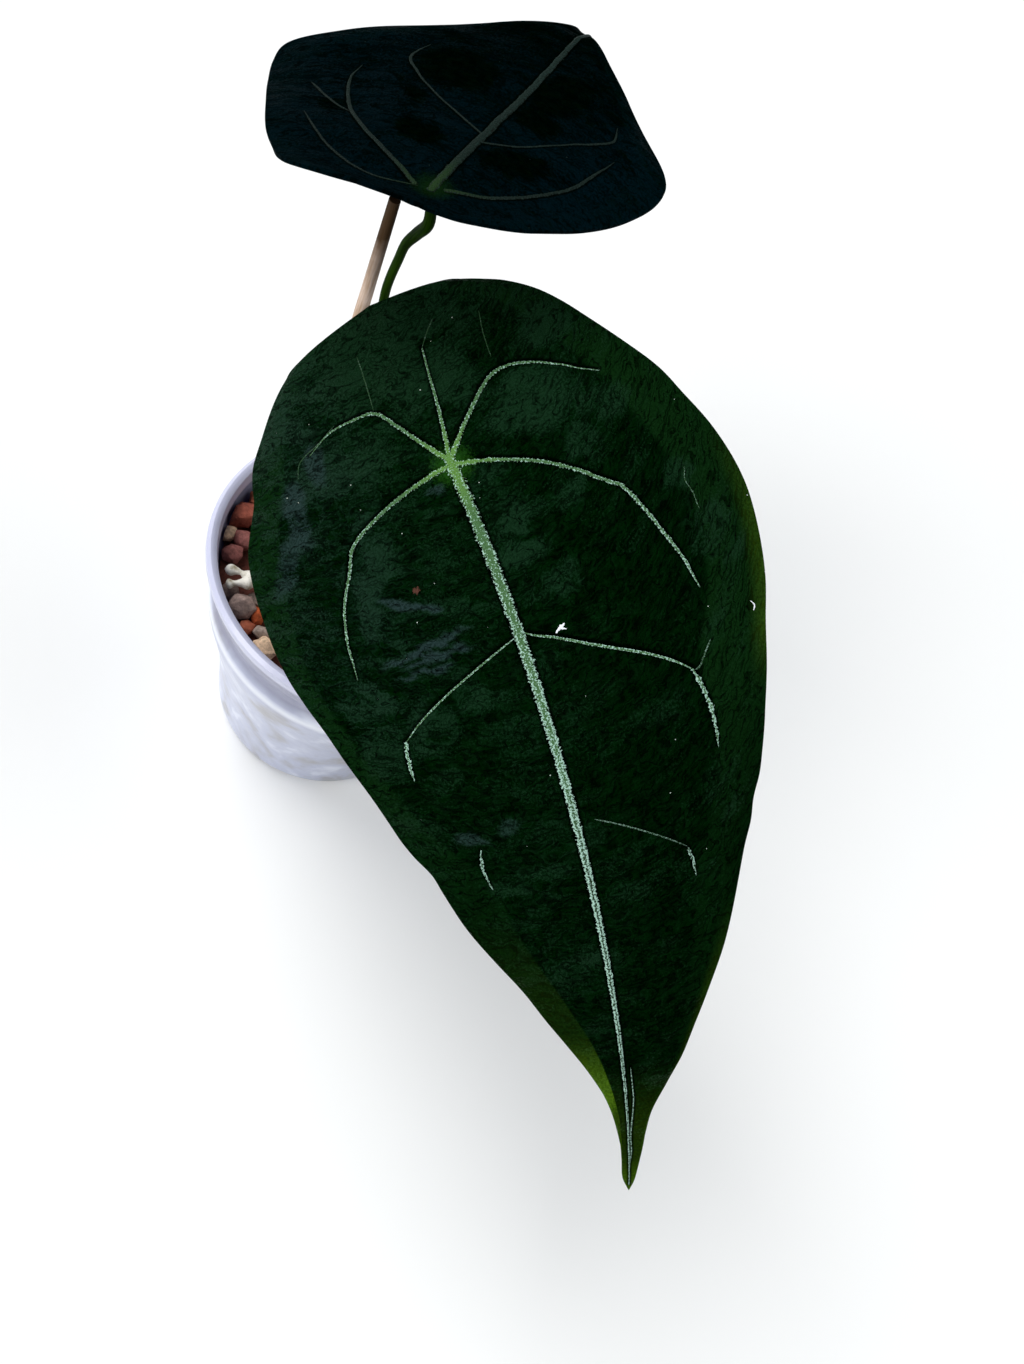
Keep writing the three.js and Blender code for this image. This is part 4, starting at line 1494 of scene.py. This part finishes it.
    def vein_distance(self, station: Array, offset: Array, beside: bool = False) -> Array:
        """Distance from each point to the nearest vein, in the flat blade.

        Args:
            station: way along the midrib.
            offset: way across.
            beside: whether to measure from the vein's edge, minus inside it; faint veins count less.

        Returns:
            One distance in millimetres for each point.
        """
        nearest = np.full(station.shape, 1e3)
        for vein in self.veins:
            way, _ = smooth_path(vein.route, 14)
            for number, ((ax, ay), (bx, by)) in enumerate(zip(way[:-1], way[1:])):
                dx, dy = bx - ax, by - ay
                t = ((station - ax) * dx + (offset - ay) * dy) / max(dx * dx + dy * dy, 1e-9)
                t = np.clip(t, 0, 1)
                away = np.hypot(station - ax - t * dx, offset - ay - t * dy)
                if beside:
                    away = away - between(vein.widths, (number + t) / 14) / 2 + 0.6 * (1 - vein.pale)
                nearest = np.minimum(nearest, away)
        return nearest

    def painted_sheen_masks(self, station: Array, offset: Array) -> tuple[Array, Array]:
        """How much painted sheen lies on each point, and how far it turns to painted blue reflection."""
        sway = 1.5 * ripple(station / 3.1, offset / 3.1, 4.0)
        drift = 1.5 * ripple(station / 3.1, offset / 3.1, 9.0)
        film = between(self.film, station) + 0.3 * ripple(self.flow(station, offset) / 5, offset / 9, 2.0)
        film = film - self.calm_far * ease(offset, 2, 18)
        cool = 0.22 * ease(-offset, 8, 30) * (1 - ease(station, 20, 60))
        for patch in self.patches:
            along, across = patch.reach
            size = math.hypot(along, across)
            left = station + sway - patch.station
            up = offset + drift - patch.offset
            lengthwise = (left * along + up * across) / size ** 2
            sideways = (up * along - left * across) / (size * patch.half_width)
            core, fringe = (0.3, 1.5) if patch.strength < 0 else (0.7, 1.25)
            soft = 1 - ease(np.hypot(lengthwise, sideways), core, fringe)
            film = film + patch.strength * soft
            cool = np.maximum(cool, patch.cool * soft)
        return film, cool

    def flow(self, station: Array, offset: Array) -> Array:
        """Coordinates in which the wrinkles run straight: they curve toward the base outwards."""
        curl = np.where(offset > 0, self.curl_far, self.curl_near)
        return station + curl * offset ** 2

    def band_mask(self, station: Array, offset: Array) -> Array:
        """One outside the marginal vein, nought inside it."""
        start = np.where(offset > 0, between(self.band_far, station), between(self.band_near, station))
        return ease(self.share_out(station, offset) - start, -0.01, 0.02)

    def relief(self, station: Array, offset: Array) -> Array:
        """Height of cushions and wrinkles above the plain surface, in millimetres."""
        calm = 1 - 0.75 * self.band_mask(station, offset)
        rim = ease(1 - self.share_out(station, offset), 0.0, 0.12)
        ends = ease(self.length - station, 4, 40)
        away = self.vein_distance(station, offset)
        puffed = self.cushion * (1 - np.exp(-(away / 3.4) ** 2))
        run = self.flow(station, offset)
        folds = 0.26 * ripple(run / 4.6, offset / 15, self.length)
        broad = 0.30 * ripple(station / 15, offset / 13, self.base)
        return ends * rim * (puffed + calm * (folds + broad))

    def build(self) -> None:
        """Makes the blade and its upper veins and dresses both."""
        blade = self.lamina()
        hand_over(blade, self.skin, self.node)
        veins = self.raised_veins()
        hand_over(veins, self.vein_skin)

    def lamina(self) -> Piece:
        """The blade itself: a grid carried onto the surface, thickened and keeled below."""
        kept: dict[str, Array] = {}

        def place(across: Array, along: Array) -> Array:
            """Carries the grid to the blade; rows are closer at both ends."""
            spread = 0.5 * along + 0.25 * (1 - np.cos(math.pi * along))
            station = -self.base + (self.base + self.length) * spread
            share = 2 * across - 1
            offset = share * self.half_width(station, share > 0)
            kept["station"] = station
            kept["offset"] = offset
            return self.surface(station, offset, self.relief(station, offset))

        blade = sheet(self.name, self.columns, self.rows, place)
        station, offset = kept["station"], kept["offset"]
        set_map(blade, "leaf", np.stack([station, offset], -1))
        set_map(blade, "flow", np.stack([self.flow(station, offset), offset], -1))
        band = self.band_mask(station, offset)
        set_mask(blade, "band", band * (1 - 0.65 * ease(station, 48, 88)))
        # Where painted light shines yellow-green through the margin.
        set_mask(blade, "young", self.lit_through_mask(station, offset, band))
        # Painted sheen, and how far it turns to a painted blue reflection of the sky.
        film, cool = self.painted_sheen_masks(station, offset)
        set_mask(blade, "film", film)
        set_mask(blade, "cool", cool)
        # Distance from the veins' edges, for their painted shade, shifted 0.35 mm toward the base.
        set_mask(blade, "clear", self.vein_distance(station + 0.35, offset, beside=True))
        rib = np.clip(1 - np.abs(station) / np.where(station < 0, self.base, self.length), 0, 1)
        keel = rib * np.exp(-(offset / self.keel_half_width) ** 2)
        lateral = 0.3 * np.exp(-(self.vein_distance(station, offset) / 0.9) ** 2)
        set_mask(blade, "keel", np.maximum(keel, lateral))
        close_seams(blade, 0.003)
        self.face_up(blade)
        apply_modifier(blade, "SOLIDIFY", {"thickness": self.thickness * MM, "offset": -1.0,
                                           "use_even_offset": False})
        self.lower_keel(blade)
        soften(blade, 60)
        return blade

    def face_up(self, blade: Piece) -> None:
        """Turns the open sheet so that its faces look away from the stalk."""
        up = Vector(self.frames[np.abs(self.stations).argmin(), 6:9])
        middle = blade.data.polygons[len(blade.data.polygons) // 2]
        if middle.normal.dot(up) < 0:
            blade.data.flip_normals()

    def lower_keel(self, blade: Piece) -> None:
        """Pushes the underside's veins out of the thickened blade."""
        count = len(blade.data.vertices) // 2
        points = points_of(blade)
        keel = read_mask(blade, "keel")[count:]
        down = points[count:] - points[:count]
        down /= np.maximum(np.linalg.norm(down, axis=1), 1e-6)[:, None]
        points[count:] += down * (keel * self.keel_depth)[:, None]
        set_points(blade, points)

    def lit_through_mask(self, station: Array, offset: Array, band: Array) -> Array:
        """Where painted light shines yellow-green through the blade; a leaf without such places has none.
        """
        return np.zeros_like(station)

    def raised_veins(self) -> Piece:
        """Every upper vein as a low closed ridge lying in the blade's skin."""
        ridges = [self.ridge(number, vein) for number, vein in enumerate(self.veins)]
        veins = join(f"{self.name}_veins", ridges)
        soften(veins, 70)
        return veins

    def ridge(self, number: int, vein: Vein) -> Piece:
        """One vein as a low closed ridge with papillate, ragged edges.

        Args:
            number: its place in the list, which picks its random relief.
            vein: its route and widths.

        Returns:
            The ridge's object.
        """
        _, length = smooth_path(vein.route, 10)
        steps = max(16, round(length / 0.22))
        way, _ = smooth_path(vein.route, steps)
        tangent = np.gradient(way, axis=0)
        tangent /= np.linalg.norm(tangent, axis=1)[:, None]
        top_cells, low_cells = 10, 4
        cells = top_cells + low_cells
        kept: dict[str, Array] = {}

        def place(around: Array, along: Array) -> Array:
            """Carries the grid round the vein's section and along its route."""
            row = np.rint(along * steps).astype(int)
            turn = np.rint(around * cells).astype(int)
            on_top = turn <= top_cells
            across = np.where(on_top, turn / top_cells * 2 - 1, 1 - (turn - top_cells) / low_cells * 2)
            run = row / steps * length
            width = between(vein.widths, row / steps)
            tear = ripple(run / 0.36, np.sign(across) * 7.0 + number, 3.0)
            coarse = ripple(run / 1.7, np.sign(across) * 3.0 + number, 8.0)
            ragged = 1 + vein.ragged * (1.5 * tear + 0.9 * coarse)
            half = width / 2 * np.where((row == 0) | (row == steps), 0, np.maximum(ragged, 0.05))
            sideways = across * half
            station = way[row, 0] - tangent[row, 1] * sideways
            offset = way[row, 1] + tangent[row, 0] * sideways
            grain = ripple(run / 0.4, sideways / 0.4 + number, 1.0)
            slim = np.clip(width / 1.2, 0.35, 1.0)
            dome = vein.rise * slim * np.sqrt(np.maximum(1 - across ** 2, 0)) * (1 + 0.2 * grain)
            height = np.where(on_top, dome - 0.1 * across ** 4, -0.3)
            kept["leaf"] = np.stack([station, offset], -1)
            kept["edge"] = np.abs(across)
            return self.surface(station, offset, self.relief(station, offset) + height)

        piece = sheet(f"vein_{number}", cells, steps, place)
        set_map(piece, "leaf", kept["leaf"])
        set_mask(piece, "edge", kept["edge"])
        set_mask(piece, "pale", np.full(len(kept["edge"]), vein.pale))
        close_seams(piece, 0.002)
        return piece


@dataclass
class FrontBlade(Blade):
    """The front leaf, with yellow-green painted light shining through its margin near the tip and,
    fainter, on the right.

    Attributes:
        flecks: white marks on it, shaped as short veins: a painted highlight and a pale curled mark.
    """

    flecks: tuple[Vein, ...] = ()

    def build(self) -> None:
        """Makes the blade and its veins, and adds the white marks, one of them a painted highlight."""
        super().build()
        flecks = join("fleck_and_highlight", [self.ridge(90 + number, fleck)
                                      for number, fleck in enumerate(self.flecks)])
        soften(flecks, 70)
        hand_over(flecks, FleckAndHighlight("fleck_and_highlight"))

    def lit_through_mask(self, station: Array, offset: Array, band: Array) -> Array:
        """Painted light through the near margin by the tip, the far margin's pale edge and the tip
        itself.
        """
        far = offset > 0
        share = self.share_out(station, offset)
        rising = 0.05 * ease(station, 84, 112) + 0.85 * ease(station, 116, 137)
        near_tip = band * rising * (1 - 0.75 * ease(station, 133, 139)) * (offset < 0)
        rim = ease(share, 0.9, 1.0) * far * ease(station, 8, 30) * (1 - ease(station, 48, 60)) * 0.2
        far_rim = ease(share, 0.86, 1.0) * far * ease(station, 92, 112) * 0.14
        point = 0.14 * ease(station, 124, 146) + 0.42 * ease(station, 150, 161)
        return np.clip(near_tip + rim + far_rim + point, 0, 1)


@dataclass
class Stalk:
    """A leaf stalk from the crown to a swollen joint under its blade.

    Attributes:
        name: the piece's name.
        node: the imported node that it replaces.
        blade: the blade that it carries.
        route: its way from the crown up to the joint.
        radius: its radius.
        joint: the joint's radius.
        foot_radius: its radius at the crown.
        joint_from: share of the way at which the joint starts.
        sunk: how far its end reaches into the blade's keel.
        skin: its finish.
    """

    name: str
    node: str
    blade: Blade
    route: Route
    radius: float
    joint: float
    foot_radius: float = 2.3
    joint_from: float = 0.84
    sunk: float = 0.4
    skin: StalkSkin = StalkSkin("stalk_skin")

    def build(self) -> None:
        """Sweeps the stalk up to its blade and dresses it."""
        middle = np.abs(self.blade.stations).argmin()
        up = self.blade.frames[middle, 6:9]
        hub = np.array(self.blade.hub)
        under = self.blade.thickness + self.blade.keel_depth
        ends = tuple(tuple(hub - up * distance) for distance in (under + 5, under - self.sunk))
        stalk = bar(self.name, (*self.route, *ends), 28, 150, self.profile)
        soften(stalk, 50)
        hand_over(stalk, self.skin, self.node)

    def profile(self, share: Array, run: Array) -> Array:
        """The stalk's radius: a flared foot, an even run and the joint's swelling."""
        foot = (self.foot_radius - self.radius) * np.exp(-share * 11)
        way = np.clip((share - self.joint_from) / (1 - self.joint_from), 0, 1)
        swell = (self.joint - self.radius) * np.sin(math.pi * way)
        return self.radius + foot + swell


def thin(route: Route, width: float, rise: float = 0.1, ragged: float = 0.3,
         pale: float = 1.0) -> Vein:
    """A vein of even width that fades out at both ends.

    Args:
        route: (station, offset) points in millimetres.
        width: its width.
        rise: how far its middle stands out.
        ragged: how broken its edges are.
        pale: how far it stands off from the blade's own green.

    Returns:
        The vein.
    """
    widths = ((0, 0.4 * width), (0.12, width), (0.85, width), (1, 0.3 * width))
    return Vein(route, widths, rise, ragged, pale)


BASAL_WIDTHS: Pairs = ((0, 1.5), (0.2, 1.0), (0.5, 0.85), (0.75, 0.55), (1, 0.2))
BACK_BASAL_WIDTHS: Pairs = ((0, 1.2), (0.4, 1.0), (0.8, 0.8), (1, 0.2))
BACK_LATERAL_WIDTHS: Pairs = ((0, 0.7), (0.5, 0.6), (0.8, 0.8), (1, 0.2))

FRONT_VEINS: tuple[Vein, ...] = (
    Vein(((-1.5, 0), (20, 0), (60, 0), (100, 0), (140, 0), (160.5, 0)),
         ((0, 2.6), (0.1, 2.5), (0.25, 2.3), (0.4, 1.9), (0.6, 1.4), (0.75, 0.9), (0.85, 0.55),
          (1, 0.25)), 0.32, 0.34),
    Vein(((-1, 0), (-13.5, 2.5), (-20, 3.6), (-27, 5)), ((0, 1.3), (0.3, 0.9), (1, 0.4)), 0.2, 0.4),
    Vein(((-1, 0), (-9, 7.5), (-15, 15), (-15.5, 19), (-14.5, 23), (-12, 28.5), (-9.5, 32.5), (-8, 35.5)),
         BASAL_WIDTHS, 0.2, 0.45),
    Vein(((-1, 0), (-8, -4), (-14, -7), (-18.3, -9.5), (-19.6, -14.5), (-20, -20), (-18, -25.5)),
         BASAL_WIDTHS, 0.2, 0.45),
    Vein(((0, 0), (0, -3), (1, -10), (3.5, -18.5), (6.5, -24.5), (11, -27), (17, -30.5), (25, -32.5),
          (33.5, -33)),
         ((0, 1.5), (0.15, 1.1), (0.5, 0.85), (0.7, 0.7), (0.88, 0.55), (1, 0.15)), 0.22, 0.55),
    Vein(((0, 0), (1, 3.5), (3, 9), (6.3, 16), (10, 21.5), (13.5, 25.5), (16.5, 29), (21, 31),
          (27, 33), (32, 34.8), (38.5, 36)),
         ((0, 1.5), (0.15, 0.95), (0.6, 0.9), (0.8, 0.8), (0.93, 0.65), (1, 0.2)), 0.22, 0.55),
    thin(((36.6, -0.6), (38, -4.5), (40.5, -11), (43, -17), (46.5, -23.5), (49.5, -27.5)), 0.45),
    Vein(((49.2, -27.3), (53, -28), (57.8, -28)),
         ((0, 0.6), (0.3, 0.85), (0.8, 0.65), (1, 0.1)), 0.2, 1.1),
    thin(((36.2, 0.8), (37.2, 2.2), (39, 6), (42.3, 12), (45, 17.5), (47.5, 22.5), (50, 26.5),
          (52.5, 29.5)), 0.6),
    Vein(((52, 29), (55.5, 30), (59, 30.5), (62.5, 30.5), (67, 30)),
         ((0, 0.7), (0.3, 0.9), (0.7, 0.8), (0.9, 0.45), (1, 0.1)), 0.2, 1.1),
    thin(((52.5, 29.5), (52, 30.8), (50.5, 32.2), (48, 34.5)), 0.4, 0.08, 0.5, 0.35),
    Vein(((74.5, -19), (78, -19.5), (83, -18.5)), ((0, 0.3), (0.4, 0.65), (1, 0.2)), 0.15, 1.2, 0.85),
    thin(((73.5, 3.5), (75.5, 7.5), (78, 12), (80.5, 16), (83, 19.5)), 0.32, 0.08, 0.4, 0.45),
    Vein(((83.2, 19.5), (86, 20), (88.8, 20)), ((0, 0.4), (0.4, 0.65), (1, 0.2)), 0.15, 1.1, 0.9),
    thin(((126.5, 1.5), (131, 1.5), (134.5, 1.5), (144.5, 0.5), (149.5, 0.5), (154.5, 0)), 0.28, 0.08),
    thin(((16, 42.5), (18.5, 41.5), (21, 42), (24.5, 42)), 0.3, 0.06, 1.0, 0.45),
    thin(((-29.5, 19), (-24.5, 17.5), (-18.5, 16.5)), 0.3, 0.06, 0.4, 0.25),
    thin(((-32.5, 10), (-30, 7.5), (-27, 5)), 0.3, 0.06, 0.4, 0.25),
    thin(((-33, -7.5), (-25.5, -8.5), (-19, -9.5)), 0.3, 0.06, 0.4, 0.25),
    thin(((-21, -18), (-19.5, -22.5), (-18, -28), (-14.5, -30)), 0.3, 0.06, 0.4, 0.25),
)
# The first two strokes make a painted highlight near the midrib; the third is a pale curled mark by the
# far margin.
FRONT_FLECKS: tuple[Vein, ...] = (
    Vein(((38.4, 6.6), (37.7, 7.7), (37.2, 8.8)), ((0, 0.4), (0.5, 0.9), (1, 0.3)), 0.1, 0.6),
    Vein(((37.6, 7.7), (38.1, 8.3), (38.3, 8.8)), ((0, 0.7), (0.5, 0.5), (1, 0.2)), 0.1, 0.6),
    Vein(((43.5, 45), (44.5, 45.6), (45.4, 44.9)), ((0, 0.2), (0.5, 0.45), (1, 0.2)), 0.08, 0.5),
)
FRONT_PATCHES: tuple[SheenPatch, ...] = tuple(SheenPatch(*values) for values in (
    (-32.5, 10, (-0.5, 5.5), 3.9), (-34.5, 0, (-6.5, -3), 3.9), (-31.5, -10, (0.5, -6), 5),
    (-21.5, -0.5, (-8, -4), 6.1), (-17, 8, (7.5, 2), 5), (-10, -22, (5.5, 9), 5),
    (-21, 28.5, (-4.5, 4), 4.4), (-6, 18, (-4, 8), 6.7), (-15, -25, (6, -0.5), 2.5, 0.5, 0.8),
    (-6.5, -33, (9, -1), 3.1, 0.6, 0.9), (2.5, -39, (6, -4), 3.1, 0.5, 0.8), (9, -20, (8, 1), 3.3),
    (3.5, -4.5, (0.5, 2), 1.4, 0.9, 0.8), (8, -6.5, (-0.5, 4.5), 1.1), (15.5, 7.5, (-2, 3), 2.2),
    (22, 6, (1, 5), 2.2), (23.5, -17.5, (3, 5.5), 1.0, 0.9, 1.0), (17.5, -25, (4.5, 0), 2.8),
    (-30.5, -29, (4, -5.5), 3.3), (-21.5, 30.5, (5.5, -1), 5, 0.7), (-6.5, 23, (-4, 7.5), 7.8, 0.7),
    (5, 25, (2.5, -3.5), 3.3, 0.7), (-1, 34, (3.5, -4.5), 3.3), (17, 40, (2.5, -3.5), 2.5, 0.8),
    (29.5, 43.5, (3.5, 5.5), 6.1), (14, 19.5, (2.5, -4), 2.5), (15.5, 9.5, (1.5, -6), 2.5),
    (29.5, 11.5, (-1.5, 3.5), 3.3), (32.5, -17.5, (-1, 9.5), 0.9, 1.0, 1.0),
    (35, -16, (0, 7.5), 0.9, 1.1, 1.0), (37.2, -19, (0.5, 6), 0.7, 1.0, 1.0),
    (21, -26, (6, -2), 2.5), (44, -12.5, (5, 0.5), 3.3), (48.5, -21, (-0.5, 5.5), 5),
    (39.5, -32.5, (1.5, 6.5), 3.9), (50.5, -32, (-1, 5), 6.1), (72, -20, (1, 4), 1.1, 0.6, 0.7),
    (71, -12, (-0.5, 2.5), 1.1, 0.6, 0.5), (48, 39.5, (5, -0.5), 6.1, 0.3),
    (52, 9.5, (-2.5, 7.5), 2.2, 0.3), (57, 20.5, (-0.5, 6), 2.8, 0.3),
    (77, -4.5, (3.5, -6), 6.1, 0.3), (82.5, -14.5, (2, -5), 2.8, 0.3),
    (72.5, 29, (8, -2), 3.9, 0.3), (91, 20.5, (7, 0), 5, 0.3), (90, 6.5, (4, -3), 3.9, 0.3),
    (99, -6.5, (5.5, 2.5), 5.6, 0.3), (104, -1.5, (5, -2.5), 3.9, 0.3), (116, -3, (3, 1), 4.4, 0.3),
    (127.5, 6.5, (4, -1), 4.4, 0.3),
))

BACK_VEINS: tuple[Vein, ...] = (
    Vein(((-1.5, 0), (20, -0.5), (40, -1.5), (60, -1.5), (80, -1), (100, 0), (116, 0)),
         ((0, 2.0), (0.3, 1.8), (0.6, 1.4), (0.85, 0.9), (1, 0.3)), 0.3, 0.2),
    Vein(((-1, 3), (5.5, 12), (11.5, 20.5), (17.5, 26.5), (28.5, 32), (34.5, 32.5)),
         BACK_BASAL_WIDTHS, 0.2, 0.3, 0.75),
    thin(((15.5, 25.5), (17.5, 30.5), (22.5, 38)), 0.6, 0.12, 0.4, 0.45),
    Vein(((0.5, -2), (5, -11), (10.5, -16.5), (18, -21.5), (26, -24), (34, -26)),
         BACK_BASAL_WIDTHS, 0.2, 0.3, 0.75),
    Vein(((23.5, -0.5), (28, 8), (32, 14.5), (37.5, 21), (42, 25), (46, 25), (50, 24)),
         BACK_LATERAL_WIDTHS, 0.15, 0.3, 0.65),
    Vein(((20.5, -1), (25.5, -9), (33, -16.5), (41, -23), (47, -22)),
         BACK_LATERAL_WIDTHS, 0.15, 0.3, 0.65),
    thin(((-1, 2.5), (-3, 11), (0, 20), (5, 27), (10.5, 33)), 0.6, 0.12, 0.4, 0.45),
)
BACK_PATCHES: tuple[SheenPatch, ...] = tuple(SheenPatch(*values) for values in (
    (43, 14, (1, 8), 6.5, -1.6), (15, 10, (2, 5), 3.6, -1.3), (48, -8, (8, -1), 5.2, -1.6),
    (35, -8, (2, 4.5), 3.6, -1.4), (17.5, -9.5, (3, -6), 4.6, -1.4), (15, 29, (2, 3), 2.5, -0.8),
    (28.5, 17.5, (2, 3), 2.5, -0.8),
))


def front_blade() -> Blade:
    """The large front leaf."""
    return FrontBlade(
        name="velvet_leaf_front", node="leaf_front", slot="blade_front",
        hub=(12.8, -23.2, 160.0), heading=-31.1, pitch=-0.3, roll=31.0,
        base=42.0, length=162.5, straight=0.0, droop=46.5, base_droop=4.0, sweep=-21.8,
        bend_near=0.009, bend_far=0.008,
        near=((-42, 0), (-40, 18.2), (-38, 23.2), (-35, 27.9), (-30, 33.7), (-26, 38), (-22, 40.1),
              (-17, 41.4), (-14, 42.9), (-6, 47.1), (2, 48.9), (10, 49.7), (18, 49.8), (26, 48.7),
              (34, 46.3), (42, 43.4), (50, 41), (58, 38.4), (66, 35.9), (70, 34.5), (74, 32.5),
              (78, 29.9), (82, 28.5), (90, 25.5), (98, 21.6), (106, 17.5), (114, 13.9), (120, 10.6),
              (126, 7.2), (132, 4.5), (138, 2.7), (144, 1.9), (152, 1.6), (158, 1.4), (162.5, 0)),
        far=((-42, 0), (-40, 14.8), (-38, 19.8), (-36, 23.6), (-34, 27.1), (-30, 32), (-26, 35.5),
             (-22, 38.4), (-14, 43.6), (-6, 47.8), (2, 49.9), (10, 52.3), (18, 53.9), (24, 54.1),
             (32, 52.8), (40, 50.4), (48, 46.8), (56, 43.8), (62, 41.5), (66, 40.1), (70, 38.6),
             (74, 37), (78, 34.7), (82, 33.1), (86, 30.8), (92, 27.9), (102, 23.3), (110, 19.4),
             (118, 15.9), (126, 12.4), (132, 8.7), (138, 5.2), (143, 3.7), (148, 2.8), (154, 1.9),
             (159, 1.1), (162.5, 0)),
        wave=1.2, wave_length=47.0, curl_near=0.005, curl_far=0.013,
        band_near=((-42, 0.7), (-15, 0.78), (10, 0.84), (35, 0.9), (60, 0.85), (74, 0.75), (85, 0.62),
                   (90, 0.647), (99, 0.64), (106, 0.607), (120, 0.5), (132, 0.58), (150, 0.9)),
        band_far=((-42, 0.72), (0, 0.74), (34, 0.75), (52, 0.68), (68, 0.738), (75, 0.728),
                  (81, 0.712), (88, 0.65), (100, 0.7), (110, 0.75), (150, 0.9)),
        veins=FRONT_VEINS, patches=FRONT_PATCHES,
        film=((-42, 1.0), (-30, 0.8), (-20, 0.5), (-5, 0.32), (20, 0.28), (40, 0.2), (80, 0.15),
              (162.5, 0.0)),
        skin=VelvetBlade("velvet_leaf_skin"),
        vein_skin=PapillateVein("papillate_vein"),
        calm_far=0.28,
        flecks=FRONT_FLECKS,
    )


def back_blade() -> Blade:
    """The smaller back leaf, seen edge-on from the front."""
    return Blade(
        name="velvet_leaf_back", node="leaf_back", slot="blade_back",
        hub=(-22.4, 5.2, 185.0), heading=101.0, pitch=-1.0, roll=-12.0,
        base=13.0, length=118.0, straight=70.5, droop=84.0, base_droop=-34.7, sweep=-4.0,
        bend_near=0.004, bend_far=0.004,
        near=((-13, 0), (-12, 2), (-11, 4.2), (-9, 8), (-6, 12.2), (-3, 16.9), (0, 21), (5, 25.9),
              (10, 29.3), (20, 34.9), (28, 38), (35, 37.7), (45, 31.8), (60, 19.8), (70, 10.3),
              (80, 3.2), (92, 1.8), (105, 1.3), (113, 0.9), (118, 0)),
        far=((-13, 0), (-12.8, 9), (-12.2, 16), (-10.4, 23.2), (-7, 28.4), (-3, 32.2), (1, 36),
             (10, 41.3), (20, 46.9), (30, 51.6), (37, 52), (45, 43.4), (60, 29.4), (70, 17.2),
             (80, 4.6), (92, 2.6), (105, 1.5), (113, 0.9), (118, 0)),
        wave=0.9, wave_length=38.0, curl_near=0.006, curl_far=0.006,
        band_near=((-13, 0.8), (20, 0.82), (60, 0.8), (110, 0.9)),
        band_far=((-13, 0.8), (20, 0.82), (60, 0.8), (110, 0.9)),
        veins=BACK_VEINS, patches=BACK_PATCHES,
        film=((-13, 1.0), (10, 0.85), (45, 0.6), (60, 0.35), (118, 0.2)),
        # The back leaf's finishes are darker, shaded copies of the front leaf's, painted shade; the blue
        # of its sheen is a painted reflection of the sky.
        skin=VelvetBlade("velvet_leaf_skin_shaded", deep="000100", leaf="010702", sheen_colour="010f14",
                         slate="041921", band="010d0a", glow="0b200a", wrinkle_mm=0.9, shine=0.002,
                         scar=(200.0, 0.0, 0.5), speck="2c3a38"),
        vein_skin=PapillateVein("papillate_vein_shaded", frost="162924", body="091a14", hub="17300f",
                                faint="030f0b"),
        rows=240,
    )


def main() -> None:
    """Builds the studio and every piece, in order."""
    logging.basicConfig(level=logging.INFO, format="%(message)s")
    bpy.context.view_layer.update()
    Studio().build()
    front = front_blade()
    back = back_blade()
    Pot().build()
    PottingMix().build()
    Stem().build()
    Stake().build()
    front.build()
    back.build()
    Stalk("stalk_front", "petiole_front", front,
          ((2.9, -1.6, 84.2), (4.6, -2.6, 92), (9.8, -6, 112), (15.4, -10.6, 132), (17.8, -14.6, 143),
           (16.2, -18.6, 150.5)), 1.25, 1.6).build()
    Stalk("stalk_back", "petiole_back", back,
          ((-2.9, 1.6, 84.2), (-5.4, 2.4, 92), (-13.6, 4, 113), (-22.6, 6.4, 139), (-26.2, 7.8, 153.5),
           (-25.6, 7.6, 164), (-24.8, 7, 168.8), (-23, 6.6, 173)), 1.02, 1.25).build()


if __name__ == "__main__":
    main()
